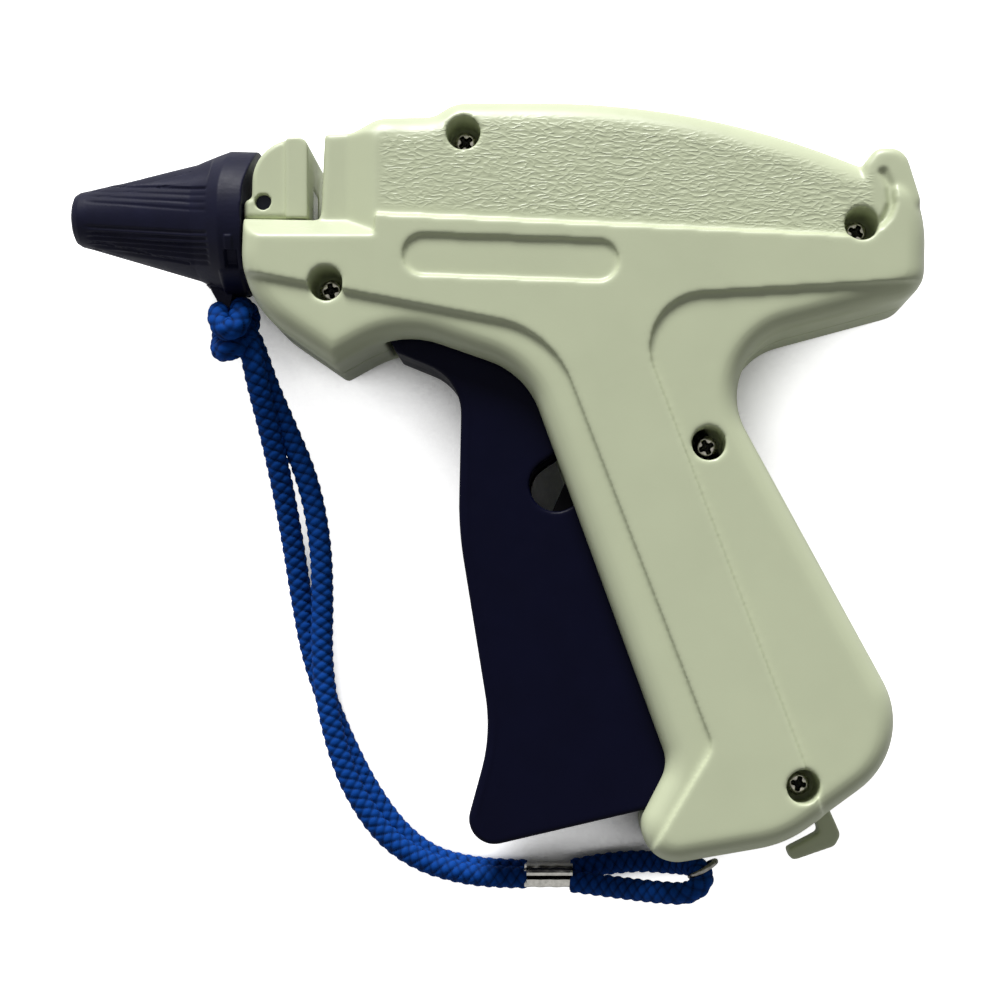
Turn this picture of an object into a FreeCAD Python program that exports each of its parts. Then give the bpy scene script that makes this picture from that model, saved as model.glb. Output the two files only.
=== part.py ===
"""Garment tag attacher: a hand-held tagging gun with two case halves, a swinging trigger,
a lever-driven ejector, a hollow needle under a push-on cap, and a braided safety cord.

Frame in millimetres: the tool lies on its right case half on the plane z = 0.
X runs along the barrel with the needle at -X, Y points to the top of the tool,
and Z points up through the tool's width. The case halves meet at z = SPLIT.
Sizes below are drawn from a point near the middle; save() moves every piece so that
ORIGIN, the middle of the tool's footprint, becomes the frame's origin.
"""
import FreeCAD
import Part
import math
import os

from FreeCAD import Vector

# ---------------------------------------------------------------- driving dimensions
CASE_LENGTH = 117.1          # front edge to rear end; stretches every outline and place in X
CASE_HEIGHT = 131.9          # roof to toe; stretches them in Y
DRAWN_LENGTH = 117.1         # the length and the height at which they are drawn below
DRAWN_HEIGHT = 131.9


def across(x):
    """A drawn X, stretched to the case's length."""
    return x * CASE_LENGTH / DRAWN_LENGTH


def upward(y):
    """A drawn Y, stretched to the case's height."""
    return y * CASE_HEIGHT / DRAWN_HEIGHT


def at(x, y):
    """A drawn place, stretched to the case's size."""
    return (across(x), upward(y))


def stretched(*corners):
    """A drawn outline's corners (x, y, corner radius), stretched to the case's size."""
    return tuple((across(x), upward(y), radius) for x, y, radius in corners)


ORIGIN = at(-1.579, -3.3)    # middle of the footprint, cord left out
CASE_WIDTH = 30.0            # across both case halves, plateaus included
PLATEAU_RISE = 1.0           # the smooth raised field stands this far off the grained field
WALL = 2.2
EDGE_ROUND = 4.0             # rounding between the case's sides and its rim
SPLIT = CASE_WIDTH / 2
FACE = CASE_WIDTH - PLATEAU_RISE

AXIS_Y = upward(45.6)        # height of the needle, the ejector and their slide
FIT = 0.05                   # radial clearance of a pin in its hole
GAP = 0.3                    # clearance between faces that move past each other

TRIGGER_PIVOT = at(-7.5, 27.7)
TRIGGER_WIDTH = 16.0
TRIGGER_WALL = 2.0
TRIGGER_TRAVEL = 17.0        # degrees of squeeze
TRIGGER_PIN_R = 1.6

LEVER_PIVOT = at(17.0, 6.0)
LEVER_WIDTH = 5.0
LEVER_POST_R = 4.0
DRIVE_ARM = 15.5             # lever pivot to drive pin
LINK_PIN_R = 1.5             # lever, drive and slider pins

STROKE = 35.0                # ejector travel for the full squeeze
CARRIAGE_HEIGHT = 10.0
CARRIAGE_WIDTH = 13.0
CARRIAGE_FRONT = 12.0        # slider pin to front face
CARRIAGE_REAR = 10.0

ROD_R = 0.7
NEEDLE_R = 1.1
NEEDLE_TIP_X = across(-66.5)
NEEDLE_BASE_R = 3.0
NEEDLE_BASE_FRONT = across(-49.0)
NEEDLE_BASE_REAR = across(-33.8)
NEEDLE_SEAT = 6.0            # how deep the needle sits in its foot
ROD_TIP_AT_REST = across(-29.2)

CLIP_SLOT = (across(-32.5), across(-30.2))   # X limits of the slot that the fastener clip goes down
WHEEL_CENTRE = at(-26.0, 52.8)
WHEEL_TIP_R = 4.2
WHEEL_ROOT_R = 3.0
WHEEL_TEETH = 12
WHEEL_WIDTH = 4.0
WHEEL_AXLE_R = 1.0
FIRST_TOOTH = 180.0          # degrees; this tooth reaches into the clip slot

SCREW_PLACES = (at(-29.4, 33.5), at(-6.1, 59.1), at(61.5, 43.6), at(35.6, 6.4), at(51.6, -51.9))
SCREW_RECESS_R = 2.9
SCREW_HEAD_R = 1.95
SCREW_HEAD_HEIGHT = 1.8
SCREW_HEAD_TOP = 21.5
SCREW_SHANK_R = 1.4
SCREW_TIP = 4.6
BOSS_R = 4.2

CORD_R = 1.9
FERRULE = ((3.7, 12.4), (-72.1, -67.7), (0.2, 7.4))   # X, Y and Z limits
EYE_CENTRE = at(35.7, -67.9)
EYE_HOLE_R = 2.2
EYE_WIRE_R = 0.7

# Outlines are rounded polygons: (x, y, corner radius).
CASE_OUTLINE = stretched(
    (-30.7, 44.7, 0), (-43.8, 45.0, 0), (-44.4, 31.0, 16), (-28.3, 19.9, 0),
    (-17.0, 26.2, 16), (4.4, 18.7, 14), (28.9, -48.3, 6), (19.3, -67.0, 6.1),
    (48.9, -61.9, 20), (71.8, -45.2, 14.5), (34.9, 22.1, 11.7), (72.5, 32.2, 5.0),
    (72.7, 44.5, 20), (70.5, 50.5, 5.0), (34.0, 64.9, 140), (-7.6, 64.9, 6),
    (-11.4, 62.5, 4), (-20.8, 62.3, 6), (-25.4, 59.7, 3), (-30.0, 59.5, 0))
REAR_LIP_OUTLINE = stretched(
    (60.9, 48.0, 0), (61.9, 53.9, 0), (64.0, 56.6, 2.0), (68.9, 56.9, 3.5),
    (72.5, 45.5, 3), (67.0, 44.0, 0))
PLATEAU_OUTLINE = stretched(
    (-50.0, 46.4, 0), (62.0, 41.3, 4),
    (67.2, 45.2, 4), (66.8, 52.6, 4), (61.0, 56.0, 0), (61.0, 64.0, 0),
    (82.0, 64.0, 0), (82.0, 34.5, 0), (21.6, 31.1, 9.4), (59.0, -67.0, 0),
    (20.0, -74.0, 0), (24.6, -65.0, 4), (36.4, -45.2, 4), (8.9, 25.5, 17), (-50.0, 36.7, 0))
NOSE_OUTLINE = stretched(
    (-43.9, 45.3, 0), (-43.9, 48.2, 1.0), (-42.6, 48.8, 0), (-42.3, 58.9, 7.4),
    (-32.8, 58.9, 1.6), (-32.8, 45.1, 0))
TRIGGER_OUTLINE = stretched(
    (-19.1, 24.9, 0.5), (-18.1, 22.7, 0.5), (-6.7, 18.1, 9), (-7.3, -7.7, 60),
    (-1.6, -43.2, 30), (-7.3, -63.9, 4.4), (32.3, -54.6, 2), (20.6, -9.7, 20),
    (18.7, 6.5, 1), (-2.2, 33.3, 4.6), (-13.9, 33.3, 5.0))
DRIVE_CHEEK_OUTLINE = stretched(
    (-6.0, -2.0, 0), (15.5, -3.0, 3), (16.8, -20.0, 3), (-4.0, -21.0, 0))
RIM_HOOK_OUTLINE = stretched(
    (57.3, -55.3, 0), (60.1, -61.6, 0.8), (59.0, -63.6, 0.8), (51.4, -66.2, 0.5),
    (50.5, -64.1, 0.5), (56.4, -61.1, 0.6), (54.1, -55.3, 0))

# The cord's centre line, point by point, from the knot or the ferrule outwards.
STRAND_A_ROUTE = (
    (-47.2, 21.4, 13.0), (-44.4, 15.1, 9.4), (-41.6, 4.5, 5.7), (-39.5, -9.3, 2.8),
    (-37.6, -23.2, 2.0), (-34.3, -36.1, 2.0), (-27.9, -47.7, 2.0), (-19.7, -57.0, 2.5),
    (-10.6, -63.3, 3.5), (-3.1, -67.6, 4.9), (3.8, -68.4, 5.3))
STRAND_B_ROUTE = (
    (-44.2, 21.3, 17.0), (-40.1, 15.1, 14.0), (-36.1, 4.3, 9.6), (-33.4, -9.9, 6.9),
    (-32.8, -24.1, 6.3), (-32.4, -36.5, 6.2), (-30.8, -48.9, 5.5), (-24.1, -60.0, 2.0),
    (-15.5, -67.0, 2.0), (-5.8, -70.7, 2.0), (3.7, -71.7, 2.0))
RING_LOOP_ROUTE = (
    (12.6, -69.5, 2.1), (20.4, -69.3, 2.3), (28.6, -69.8, 4.2), (35.9, -67.8, 9.6),
    (35.6, -68.0, 18.9), (32.6, -72.4, 19.2), (26.6, -72.6, 15.6), (19.4, -72.0, 10.2),
    (12.8, -70.8, 5.8))


# ---------------------------------------------------------------- helpers
def rounded_wire(corners, z=0.0):
    """A closed wire in the plane z through the corners, each rounded by its own radius."""
    points = [Vector(x, y, z) for x, y, _ in corners]
    joints = []
    for index, (_, _, radius) in enumerate(corners):
        here = points[index]
        to_before = (points[index - 1] - here).normalize()
        to_after = (points[(index + 1) % len(points)] - here).normalize()
        if radius <= 0:
            joints.append((here, None, here))
            continue
        half = to_before.getAngle(to_after) / 2
        reach = radius / math.tan(half)
        bisector = (to_before + to_after).normalize()
        middle = here + bisector * (radius / math.sin(half) - radius)
        joints.append((here + to_before * reach, middle, here + to_after * reach))
    edges = []
    for index, (start, middle, end) in enumerate(joints):
        if middle is not None:
            edges.append(Part.Arc(start, middle, end).toShape())
        following = joints[(index + 1) % len(joints)][0]
        if (following - end).Length > 1e-6:
            edges.append(Part.LineSegment(end, following).toShape())
    return Part.Wire(edges)


def slab(corners, low, high):
    """A rounded outline extruded from z = low to z = high."""
    return Part.Face(rounded_wire(corners, low)).extrude(Vector(0, 0, high - low))


def grown_slab(corners, growth, low, high):
    """The same, with the outline offset outwards by growth (inwards if negative)."""
    wire = rounded_wire(corners, low).makeOffset2D(growth)
    return Part.Face(wire).extrude(Vector(0, 0, high - low))


def block(x_limits, y_limits, z_limits):
    """A box between pairs of limits."""
    size = [limits[1] - limits[0] for limits in (x_limits, y_limits, z_limits)]
    return Part.makeBox(*size, Vector(x_limits[0], y_limits[0], z_limits[0]))


def post(place, radius, low, high):
    """A cylinder along Z at an (x, y) place."""
    return Part.makeCylinder(radius, high - low, Vector(place[0], place[1], low))


def bar(start_x, end_x, radius, y=AXIS_Y, z=SPLIT):
    """A cylinder along X."""
    return Part.makeCylinder(radius, end_x - start_x, Vector(start_x, y, z), Vector(1, 0, 0))


def about_split(half_width):
    """The Z limits of something centred on the split plane."""
    return (SPLIT - half_width, SPLIT + half_width)


def polar(centre, radius, degrees):
    """The point at a radius and an angle from a centre."""
    angle = math.radians(degrees)
    return (centre[0] + radius * math.cos(angle), centre[1] + radius * math.sin(angle))


def turned(point, centre, degrees):
    """A point turned about a centre."""
    cos, sin = math.cos(math.radians(degrees)), math.sin(math.radians(degrees))
    dx, dy = point[0] - centre[0], point[1] - centre[1]
    return (centre[0] + dx * cos - dy * sin, centre[1] + dx * sin + dy * cos)


def track(points, radius, low, high):
    """A round-ended track of constant width that follows points in the XY plane."""
    if len(points) == 2:
        start, end = Vector(*points[0], 0), Vector(*points[1], 0)
        along = (end - start).normalize() * radius
        across = Vector(-along.y, along.x, 0)
        corners = (start - along + across, end + along + across,
                   end + along - across, start - along - across)
        wire = rounded_wire([(corner.x, corner.y, radius) for corner in corners], low)
    else:
        middle_line = Part.makePolygon([Vector(x, y, low) for x, y in points])
        wire = middle_line.makeOffset2D(radius, 0, False, False, False)
    return Part.Face(wire).extrude(Vector(0, 0, high - low))


def bent_tube(route, tube_radius):
    """A tube along straight runs joined by tangent arcs, each as large as its runs allow.

    Returns the tube, its middle line and the radius of each bend.
    """
    points = [Vector(*point) for point in route]
    edges, start, radii = [], points[0], []
    for before, here, after in zip(points, points[1:], points[2:]):
        to_before, to_after = (before - here), (after - here)
        reach = 0.45 * min(to_before.Length, to_after.Length)
        to_before.normalize()
        to_after.normalize()
        half = to_before.getAngle(to_after) / 2
        radius = reach * math.tan(half)
        radii.append(radius)
        middle = here + (to_before + to_after).normalize() * (radius / math.sin(half) - radius)
        edges.append(Part.LineSegment(start, here + to_before * reach).toShape())
        start = here + to_after * reach
        edges.append(Part.Arc(here + to_before * reach, middle, start).toShape())
    edges.append(Part.LineSegment(start, points[-1]).toShape())
    path = Part.Wire(edges)
    section = Part.Wire(Part.makeCircle(tube_radius, points[0], points[1] - points[0]))
    return path.makePipeShell([section], True, False), path, radii


def edges_at(shape, z):
    """The edges of a shape that lie in the plane z."""
    return [edge for edge in shape.Edges
            if abs(edge.BoundBox.ZMin - z) < 1e-6 and abs(edge.BoundBox.ZMax - z) < 1e-6]


def mirrored(shape):
    """The same shape for the other case half."""
    return shape.mirror(Vector(0, 0, SPLIT), Vector(0, 0, 1))


def save(name, *solids):
    """Write one node, made of one solid or of several like ones."""
    shape = solids[0] if len(solids) == 1 else Part.makeCompound(list(solids))
    shape.translate(Vector(-ORIGIN[0], -ORIGIN[1], 0))
    shape.exportStep(f"parts/{name}.step")
    print(name, "solids", len(shape.Solids), "valid", shape.isValid(), "volume", round(shape.Volume, 1))


# ---------------------------------------------------------------- linkage geometry
SLIDER_HEIGHT = AXIS_Y - LEVER_PIVOT[1]                 # slider pin above the lever pivot
HALF_SWING = math.degrees(math.atan(STROKE / 2 / SLIDER_HEIGHT))
LEVER_SWING = 2 * HALF_SWING
SLIDER_PIN_X = LEVER_PIVOT[0] + STROKE / 2              # at rest; it moves towards -X
DRIVE_PIN = polar(LEVER_PIVOT, DRIVE_ARM, -90 - HALF_SWING)
TRACK_STEPS = 6


def shares():
    """Even steps from rest to full squeeze."""
    return [step / TRACK_STEPS for step in range(TRACK_STEPS + 1)]


def drive_track():
    """Where the drive pin runs in the trigger: both turn at a constant ratio."""
    return [turned(turned(DRIVE_PIN, LEVER_PIVOT, share * LEVER_SWING),
                   TRIGGER_PIVOT, -share * TRIGGER_TRAVEL) for share in shares()]


def slider_track():
    """Where the slider pin runs in the lever at rest, for a stroke in step with the swing."""
    return [turned((SLIDER_PIN_X - share * STROKE, AXIS_Y), LEVER_PIVOT, -share * LEVER_SWING)
            for share in shares()]


# ---------------------------------------------------------------- case halves
GUIDE_LIP = 1.5              # thickness of the lips that the slide runs between
GUIDE_LIP_Z = 3.4            # half the space between the slide's lips, for the lever
FRONT_BAND = 26.8            # lowered field around the clip slot
FRONT_WINDOW = 7.3           # half width of the window that holds the needle guide
RAIL_X = (across(-14.0), across(47.0))
GRIP_RIBS_X = (across(40.0), across(59.0))
GRIP_RIBS_Y = (upward(-20.0), upward(-34.0))
RIB = 1.4
PIN_BOSS_R = 3.6             # around the trigger pin
AXLE_BOSS_R = 2.7            # around the feed wheel's axle
LEVER_PIN_REACH = 8.0        # how deep the lever pin sits in each post
RAMP_FOOT = across(-26.0)    # where the band's ramp starts and ends
RAMP_HEAD = across(-21.0)
SHELF_FOOT = upward(44.5)
SHELF_SLOPE = 0.97
WHEEL_WINDOW_REAR = across(-27.4)   # just behind the front wall
GUIDE_X = (across(-43.5), across(-18.3))    # the block that carries the needle's foot and the rod
GUIDE_LOW_Y = upward(38.6)
GUIDE_TOP_Y = AXIS_Y + 1.3   # over the rod


def front_step():
    """What the lowered band around the clip slot takes away: a ramp behind it, a shelf below."""
    above = CASE_WIDTH + 1
    ramp = Part.makePolygon([Vector(x, 30.0, z) for x, z in (
        (-50.0, FRONT_BAND), (RAMP_FOOT, FRONT_BAND), (RAMP_HEAD, FACE), (RAMP_HEAD, above),
        (-50.0, above), (-50.0, FRONT_BAND))])
    shelf_head = SHELF_FOOT - SHELF_SLOPE * (above - FRONT_BAND)
    shelf = Part.makePolygon([Vector(-55.0, y, z) for y, z in (
        (SHELF_FOOT, FRONT_BAND), (80.0, FRONT_BAND), (80.0, above), (shelf_head, above),
        (SHELF_FOOT, FRONT_BAND))])
    behind = Part.Face(ramp).extrude(Vector(0, 50.0, 0))
    return behind.common(Part.Face(shelf).extrude(Vector(50.0, 0, 0)))


def outer_half():
    """The outside of the upper case half: grained field, raised plateau, lowered front band."""
    low_body = slab(CASE_OUTLINE, SPLIT, FACE)
    low_body = low_body.makeFillet(EDGE_ROUND, edges_at(low_body, FACE))
    high_body = slab(CASE_OUTLINE, SPLIT, CASE_WIDTH)
    high_body = high_body.makeFillet(EDGE_ROUND, edges_at(high_body, CASE_WIDTH))
    plateau = high_body.common(slab(PLATEAU_OUTLINE, SPLIT, CASE_WIDTH + 1))
    lip = slab(REAR_LIP_OUTLINE, SPLIT, FACE)
    lip = lip.makeFillet(1.5, edges_at(lip, FACE))
    body = low_body.fuse(plateau).fuse(lip)
    return body.cut(front_step())


def trigger_window():
    """The space between the case halves that the trigger swings in."""
    side = about_split(TRIGGER_WIDTH / 2 + GAP)
    corners = stretched((-19.8, 20.0, 0), (-19.8, 26.2, 0), (-15.4, 34.1, 0), (20.2, 34.1, 0),
                        (56.0, -24.0, 0), (48.0, -51.0, 0), (18.0, -58.2, 0), (-10.0, 10.0, 0))
    return slab(corners, *side)


def inner_fittings(high):
    """Bosses, posts and ribs inside the upper half, reaching up into its side wall."""
    trigger_side = SPLIT + TRIGGER_WIDTH / 2 + GAP
    lever_side = SPLIT + LEVER_WIDTH / 2 + GAP
    carriage_side = SPLIT + CARRIAGE_WIDTH / 2 + GAP / 2
    half_height = CARRIAGE_HEIGHT / 2 + FIT
    fittings = [post(place, BOSS_R, SPLIT, high) for place in SCREW_PLACES]
    fittings.append(post(TRIGGER_PIVOT, PIN_BOSS_R, trigger_side, high))
    fittings.append(post(LEVER_PIVOT, LEVER_POST_R, lever_side, high))
    fittings.append(post(WHEEL_CENTRE, AXLE_BOSS_R, SPLIT + WHEEL_WIDTH / 2 + GAP,
                         FRONT_BAND - WALL + 0.1))
    for low_y in (AXIS_Y - half_height - GUIDE_LIP, AXIS_Y + half_height):
        fittings.append(block(RAIL_X, (low_y, low_y + GUIDE_LIP), (SPLIT + GUIDE_LIP_Z, high)))
    fittings.append(block(RAIL_X, (AXIS_Y - 0.7, AXIS_Y + 0.7), (carriage_side, high)))
    for low_y in GRIP_RIBS_Y:
        fittings.append(block(GRIP_RIBS_X, (low_y, low_y + RIB), (trigger_side + GAP, high)))
    return fittings


def half_shell():
    """What both case halves share, modelled as the upper one."""
    cavity_top = FACE - WALL
    body = outer_half()
    cavity = grown_slab(CASE_OUTLINE, -WALL, SPLIT, cavity_top)
    front = block((-50.0, GUIDE_X[1] - GAP), (GUIDE_LOW_Y + 0.6, 70.0), (FRONT_BAND - WALL, cavity_top + 1))
    cavity = cavity.cut(front)
    shell = body.cut(cavity)
    inside = grown_slab(CASE_OUTLINE, -WALL / 2, SPLIT, cavity_top + WALL / 2)
    for fitting in inner_fittings(cavity_top + WALL / 4):
        shell = shell.fuse(fitting.common(inside))
    shell = shell.cut(trigger_window().cut(post(LEVER_PIVOT, LEVER_POST_R, 0, CASE_WIDTH)))
    shell = shell.cut(block((-50.0, GUIDE_X[1] + GAP), (GUIDE_LOW_Y - GAP, GUIDE_TOP_Y + GAP),
                            about_split(FRONT_WINDOW)))
    wheel_reach = WHEEL_TIP_R + 2 * GAP
    shell = shell.cut(block((-31.5, WHEEL_WINDOW_REAR), (44.0, WHEEL_CENTRE[1] + wheel_reach),
                            about_split(WHEEL_WIDTH / 2 + 2 * GAP)))
    shell = shell.cut(post(TRIGGER_PIVOT, TRIGGER_PIN_R + FIT, SPLIT, cavity_top))
    shell = shell.cut(post(LEVER_PIVOT, LINK_PIN_R + FIT, SPLIT,
                           SPLIT + LEVER_WIDTH / 2 + LEVER_PIN_REACH))
    shell = shell.cut(post(WHEEL_CENTRE, WHEEL_AXLE_R + FIT, SPLIT, FRONT_BAND - WALL))
    eye_neck = Part.makeCylinder(EYE_WIRE_R + FIT, 8.6, Vector(EYE_CENTRE[0], upward(-66.0), SPLIT), Vector(0, 1, 0))
    return shell.cut(eye_neck)


RECESS_LENGTH = across(36.7)
RECESS_HEIGHT = 7.1
RECESS_SLOPE = -2.0          # degrees
RECESS_CENTRE = at(2.0, 37.7)
RECESS_DEPTH = 0.8


def bare_recess():
    """The bare sunk field on the barrel's flank, with round ends, sloping slightly."""
    reach = (RECESS_LENGTH - RECESS_HEIGHT) / 2
    ends = [turned((RECESS_CENTRE[0] + side * reach, RECESS_CENTRE[1]), RECESS_CENTRE, RECESS_SLOPE)
            for side in (-1, 1)]
    return track(ends, RECESS_HEIGHT / 2, CASE_WIDTH - RECESS_DEPTH, CASE_WIDTH + 1)


def make_left_shell(shell):
    """The upper half: screw recesses and the bare sunk field."""
    shoulder = SCREW_HEAD_TOP - SCREW_HEAD_HEIGHT
    for place in SCREW_PLACES:
        shell = shell.cut(post(place, SCREW_RECESS_R, shoulder, CASE_WIDTH + 1))
        shell = shell.cut(post(place, SCREW_SHANK_R + FIT, SPLIT, shoulder))
    return shell.cut(bare_recess())


def make_right_shell(shell):
    """The lower half: blind screw holes and the small hanging hook under the heel."""
    shell = mirrored(shell)
    hook = slab(RIM_HOOK_OUTLINE, 7.0, 13.0)
    hook = hook.cut(grown_slab(CASE_OUTLINE, -WALL / 2, 0, SPLIT))
    shell = shell.fuse(hook)
    for place in SCREW_PLACES:
        shell = shell.cut(post(place, SCREW_SHANK_R + FIT, SCREW_TIP - GAP, SPLIT))
    return shell


def make_screw(place):
    """A pan-head case screw with a cross recess."""
    shoulder = SCREW_HEAD_TOP - SCREW_HEAD_HEIGHT
    head = post(place, SCREW_HEAD_R, shoulder, SCREW_HEAD_TOP)
    head = head.makeFillet(0.7, edges_at(head, SCREW_HEAD_TOP))
    screw = head.fuse(post(place, SCREW_SHANK_R, SCREW_TIP, shoulder))
    x, y = place
    for long_x, long_y in ((1.5, 0.35), (0.35, 1.5)):
        arm = block((x - long_x, x + long_x), (y - long_y, y + long_y), (SCREW_HEAD_TOP - 1.1, SCREW_HEAD_TOP))
        screw = screw.cut(arm)
    return screw


# ---------------------------------------------------------------- trigger and lever
def make_trigger():
    """A channel-shaped lever, open at the back, with a notch for the post and two drive tracks."""
    low, high = about_split(TRIGGER_WIDTH / 2)
    body = slab(TRIGGER_OUTLINE, low, high)
    rim = edges_at(body, high) + edges_at(body, low)
    body = body.makeFillet(0.6, rim)
    inner_low, inner_high = low + TRIGGER_WALL, high - TRIGGER_WALL
    cavity = grown_slab(TRIGGER_OUTLINE, -TRIGGER_WALL, inner_low, inner_high)
    open_back = slab(stretched((2.0, 36.0, 0), (26.0, 8.0, 0), (44.0, -60.0, 0), (26.0, -54.2, 0),
                               (10.0, 0.0, 0), (-2.6, 22.0, 0)), inner_low, inner_high)
    body = body.cut(cavity).cut(open_back)
    within = grown_slab(TRIGGER_OUTLINE, -TRIGGER_WALL / 2, low + 1, high - 1)
    web = block((-8.0, 22.0), (-41.0, -39.5), (low + 1, high - 1)).common(within)
    body = body.multiFuse([post(TRIGGER_PIVOT, 4.0, low, high), web])
    pin_track = track(drive_track(), LINK_PIN_R + GAP / 2, inner_low, inner_high)
    cheek_gap = LEVER_WIDTH / 2 + 3 * GAP
    for cheek_z in ((low + 1, SPLIT - cheek_gap), (SPLIT + cheek_gap, high - 1)):
        cheek = slab(DRIVE_CHEEK_OUTLINE, *cheek_z).common(within)
        body = body.fuse(cheek.cut(pin_track))
    post_angle = math.degrees(math.atan2(LEVER_PIVOT[1] - TRIGGER_PIVOT[1],
                                         LEVER_PIVOT[0] - TRIGGER_PIVOT[0]))
    sweep = [polar(TRIGGER_PIVOT, math.dist(TRIGGER_PIVOT, LEVER_PIVOT),
                   post_angle + 12.0 - share * (TRIGGER_TRAVEL + 12.0)) for share in shares()]
    body = body.cut(track(sweep, LEVER_POST_R + 2 * GAP, low - 1, high + 1))
    return body.cut(post(TRIGGER_PIVOT, TRIGGER_PIN_R + FIT, low - 1, high + 1)).removeSplitter()


LONG_ARM_R = 3.4             # half widths of the lever's arms
SHORT_ARM_R = 3.2
HUB_R = 5.0
POCKET_SPAN = (11.0, 28.0)   # along the long arm
POCKET_DEPTH = 1.2


def make_lever():
    """The drive lever: hub on the post's pin, short arm with the drive pin, long slotted arm."""
    low, high = about_split(LEVER_WIDTH / 2)
    slot = slider_track()
    reach = max(math.dist(LEVER_PIVOT, point) for point in slot) + LINK_PIN_R + 2.0
    tip = polar(LEVER_PIVOT, reach - LONG_ARM_R, 90 - HALF_SWING)
    long_arm = track([LEVER_PIVOT, tip], LONG_ARM_R, low, high)
    short_arm = track([LEVER_PIVOT, DRIVE_PIN], SHORT_ARM_R, low, high)
    hub = post(LEVER_PIVOT, HUB_R, low, high)
    body = hub.multiFuse([long_arm, short_arm])
    pocket_ends = [polar(LEVER_PIVOT, radius, 90 - HALF_SWING) for radius in POCKET_SPAN]
    for side in ((low, low + POCKET_DEPTH), (high - POCKET_DEPTH, high)):
        body = body.cut(track(pocket_ends, 1.9, *side))
    body = body.cut(track(slot, LINK_PIN_R + GAP / 2, low, high))
    body = body.cut(post(LEVER_PIVOT, LINK_PIN_R + FIT, low, high))
    return body.cut(post(DRIVE_PIN, LINK_PIN_R + FIT, low, high)).removeSplitter()


def make_drive_pin():
    """The cross pin in the lever's short arm; its ends run in the trigger's tracks."""
    return post(DRIVE_PIN, LINK_PIN_R, *about_split(TRIGGER_WIDTH / 2 - TRIGGER_WALL - GAP))


# ---------------------------------------------------------------- slide, rod and spring
CARRIAGE_FACE_X = SLIDER_PIN_X - CARRIAGE_FRONT
ROD_HEAD = 4.0
SPRING_R = 3.3
SPRING_WIRE_R = 0.3
SPRING_TURNS = 9
BENDS_PER_TURN = 8


def make_carriage():
    """The carriage between the lips of the two case halves, split for the lever."""
    half = CARRIAGE_HEIGHT / 2
    body = block((CARRIAGE_FACE_X, SLIDER_PIN_X + CARRIAGE_REAR), (AXIS_Y - half, AXIS_Y + half),
                 about_split(CARRIAGE_WIDTH / 2))
    body = body.makeChamfer(0.4, body.Edges)
    gap = block((SLIDER_PIN_X - 7.6, SLIDER_PIN_X + 7.2), (AXIS_Y - half - 1, AXIS_Y + half + 1),
                about_split(LEVER_WIDTH / 2 + GAP))
    body = body.cut(gap)
    body = body.cut(post((SLIDER_PIN_X, AXIS_Y), LINK_PIN_R + FIT, 0, CASE_WIDTH))
    return body.cut(bar(CARRIAGE_FACE_X - 1, CARRIAGE_FACE_X + ROD_HEAD, ROD_R + FIT))


def make_slider_pin():
    """The pin across the carriage that the lever's slot pushes."""
    return post((SLIDER_PIN_X, AXIS_Y), LINK_PIN_R, *about_split(CARRIAGE_WIDTH / 2 - 0.4))


def make_rod():
    """The ejector rod, seated in the carriage."""
    return bar(ROD_TIP_AT_REST, CARRIAGE_FACE_X + ROD_HEAD, ROD_R)


def make_spring():
    """The return spring around the rod, between the needle guide and the carriage."""
    start_x, end_x = GUIDE_X[1] + SPRING_WIRE_R, CARRIAGE_FACE_X - SPRING_WIRE_R
    count = SPRING_TURNS * BENDS_PER_TURN
    route = []
    for bend in range(count + 1):
        y, z = polar((AXIS_Y, SPLIT), SPRING_R, bend * 360.0 / BENDS_PER_TURN)
        route.append((start_x + (end_x - start_x) * bend / count, y, z))
    return bent_tube(route, SPRING_WIRE_R)[0]


# ---------------------------------------------------------------- needle end and feed
NOSE_HALF_WIDTH = 10.5
LOCK_PIN = (NEEDLE_BASE_FRONT + 8.4, AXIS_Y + 2.5)
LOCK_PIN_R = 1.35
EAR_Z = (4.4, 7.0)           # ears of the guide, measured from the split plane
EAR_R = 2.4
BLADE_X = CLIP_SLOT[0] - 0.9
BLADE_TOP = AXIS_Y + 6.0


def make_front_guide():
    """The block between the case halves that carries the needle, the rod and the nose."""
    width = about_split(FRONT_WINDOW - GAP)
    body = block(GUIDE_X, (GUIDE_LOW_Y, AXIS_Y - 0.8), width)
    body = body.fuse(block((CLIP_SLOT[1], GUIDE_X[1]), (AXIS_Y - 1.0, GUIDE_TOP_Y), width))
    for side in (1, -1):
        ear_z = sorted(SPLIT + side * z for z in EAR_Z)
        ear = track([LOCK_PIN, (LOCK_PIN[0] + 1.5, AXIS_Y - 1.9)], EAR_R, *ear_z)
        body = body.fuse(ear.cut(block((-50.0, -30.0), (30.0, 42.0), (0.0, CASE_WIDTH))))
    body = body.cut(block(CLIP_SLOT, (40.0, 50.0), about_split(FRONT_WINDOW)))
    body = body.cut(bar(-50.0, NEEDLE_BASE_REAR + 0.2, NEEDLE_BASE_R + FIT))
    body = body.cut(bar(NEEDLE_BASE_REAR, CLIP_SLOT[0] + 1, ROD_R + GAP))
    body = body.cut(bar(CLIP_SLOT[1], GUIDE_X[1] + 1, ROD_R + FIT))
    return body.cut(post(LOCK_PIN, LOCK_PIN_R + FIT, 0, CASE_WIDTH)).removeSplitter()


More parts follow.
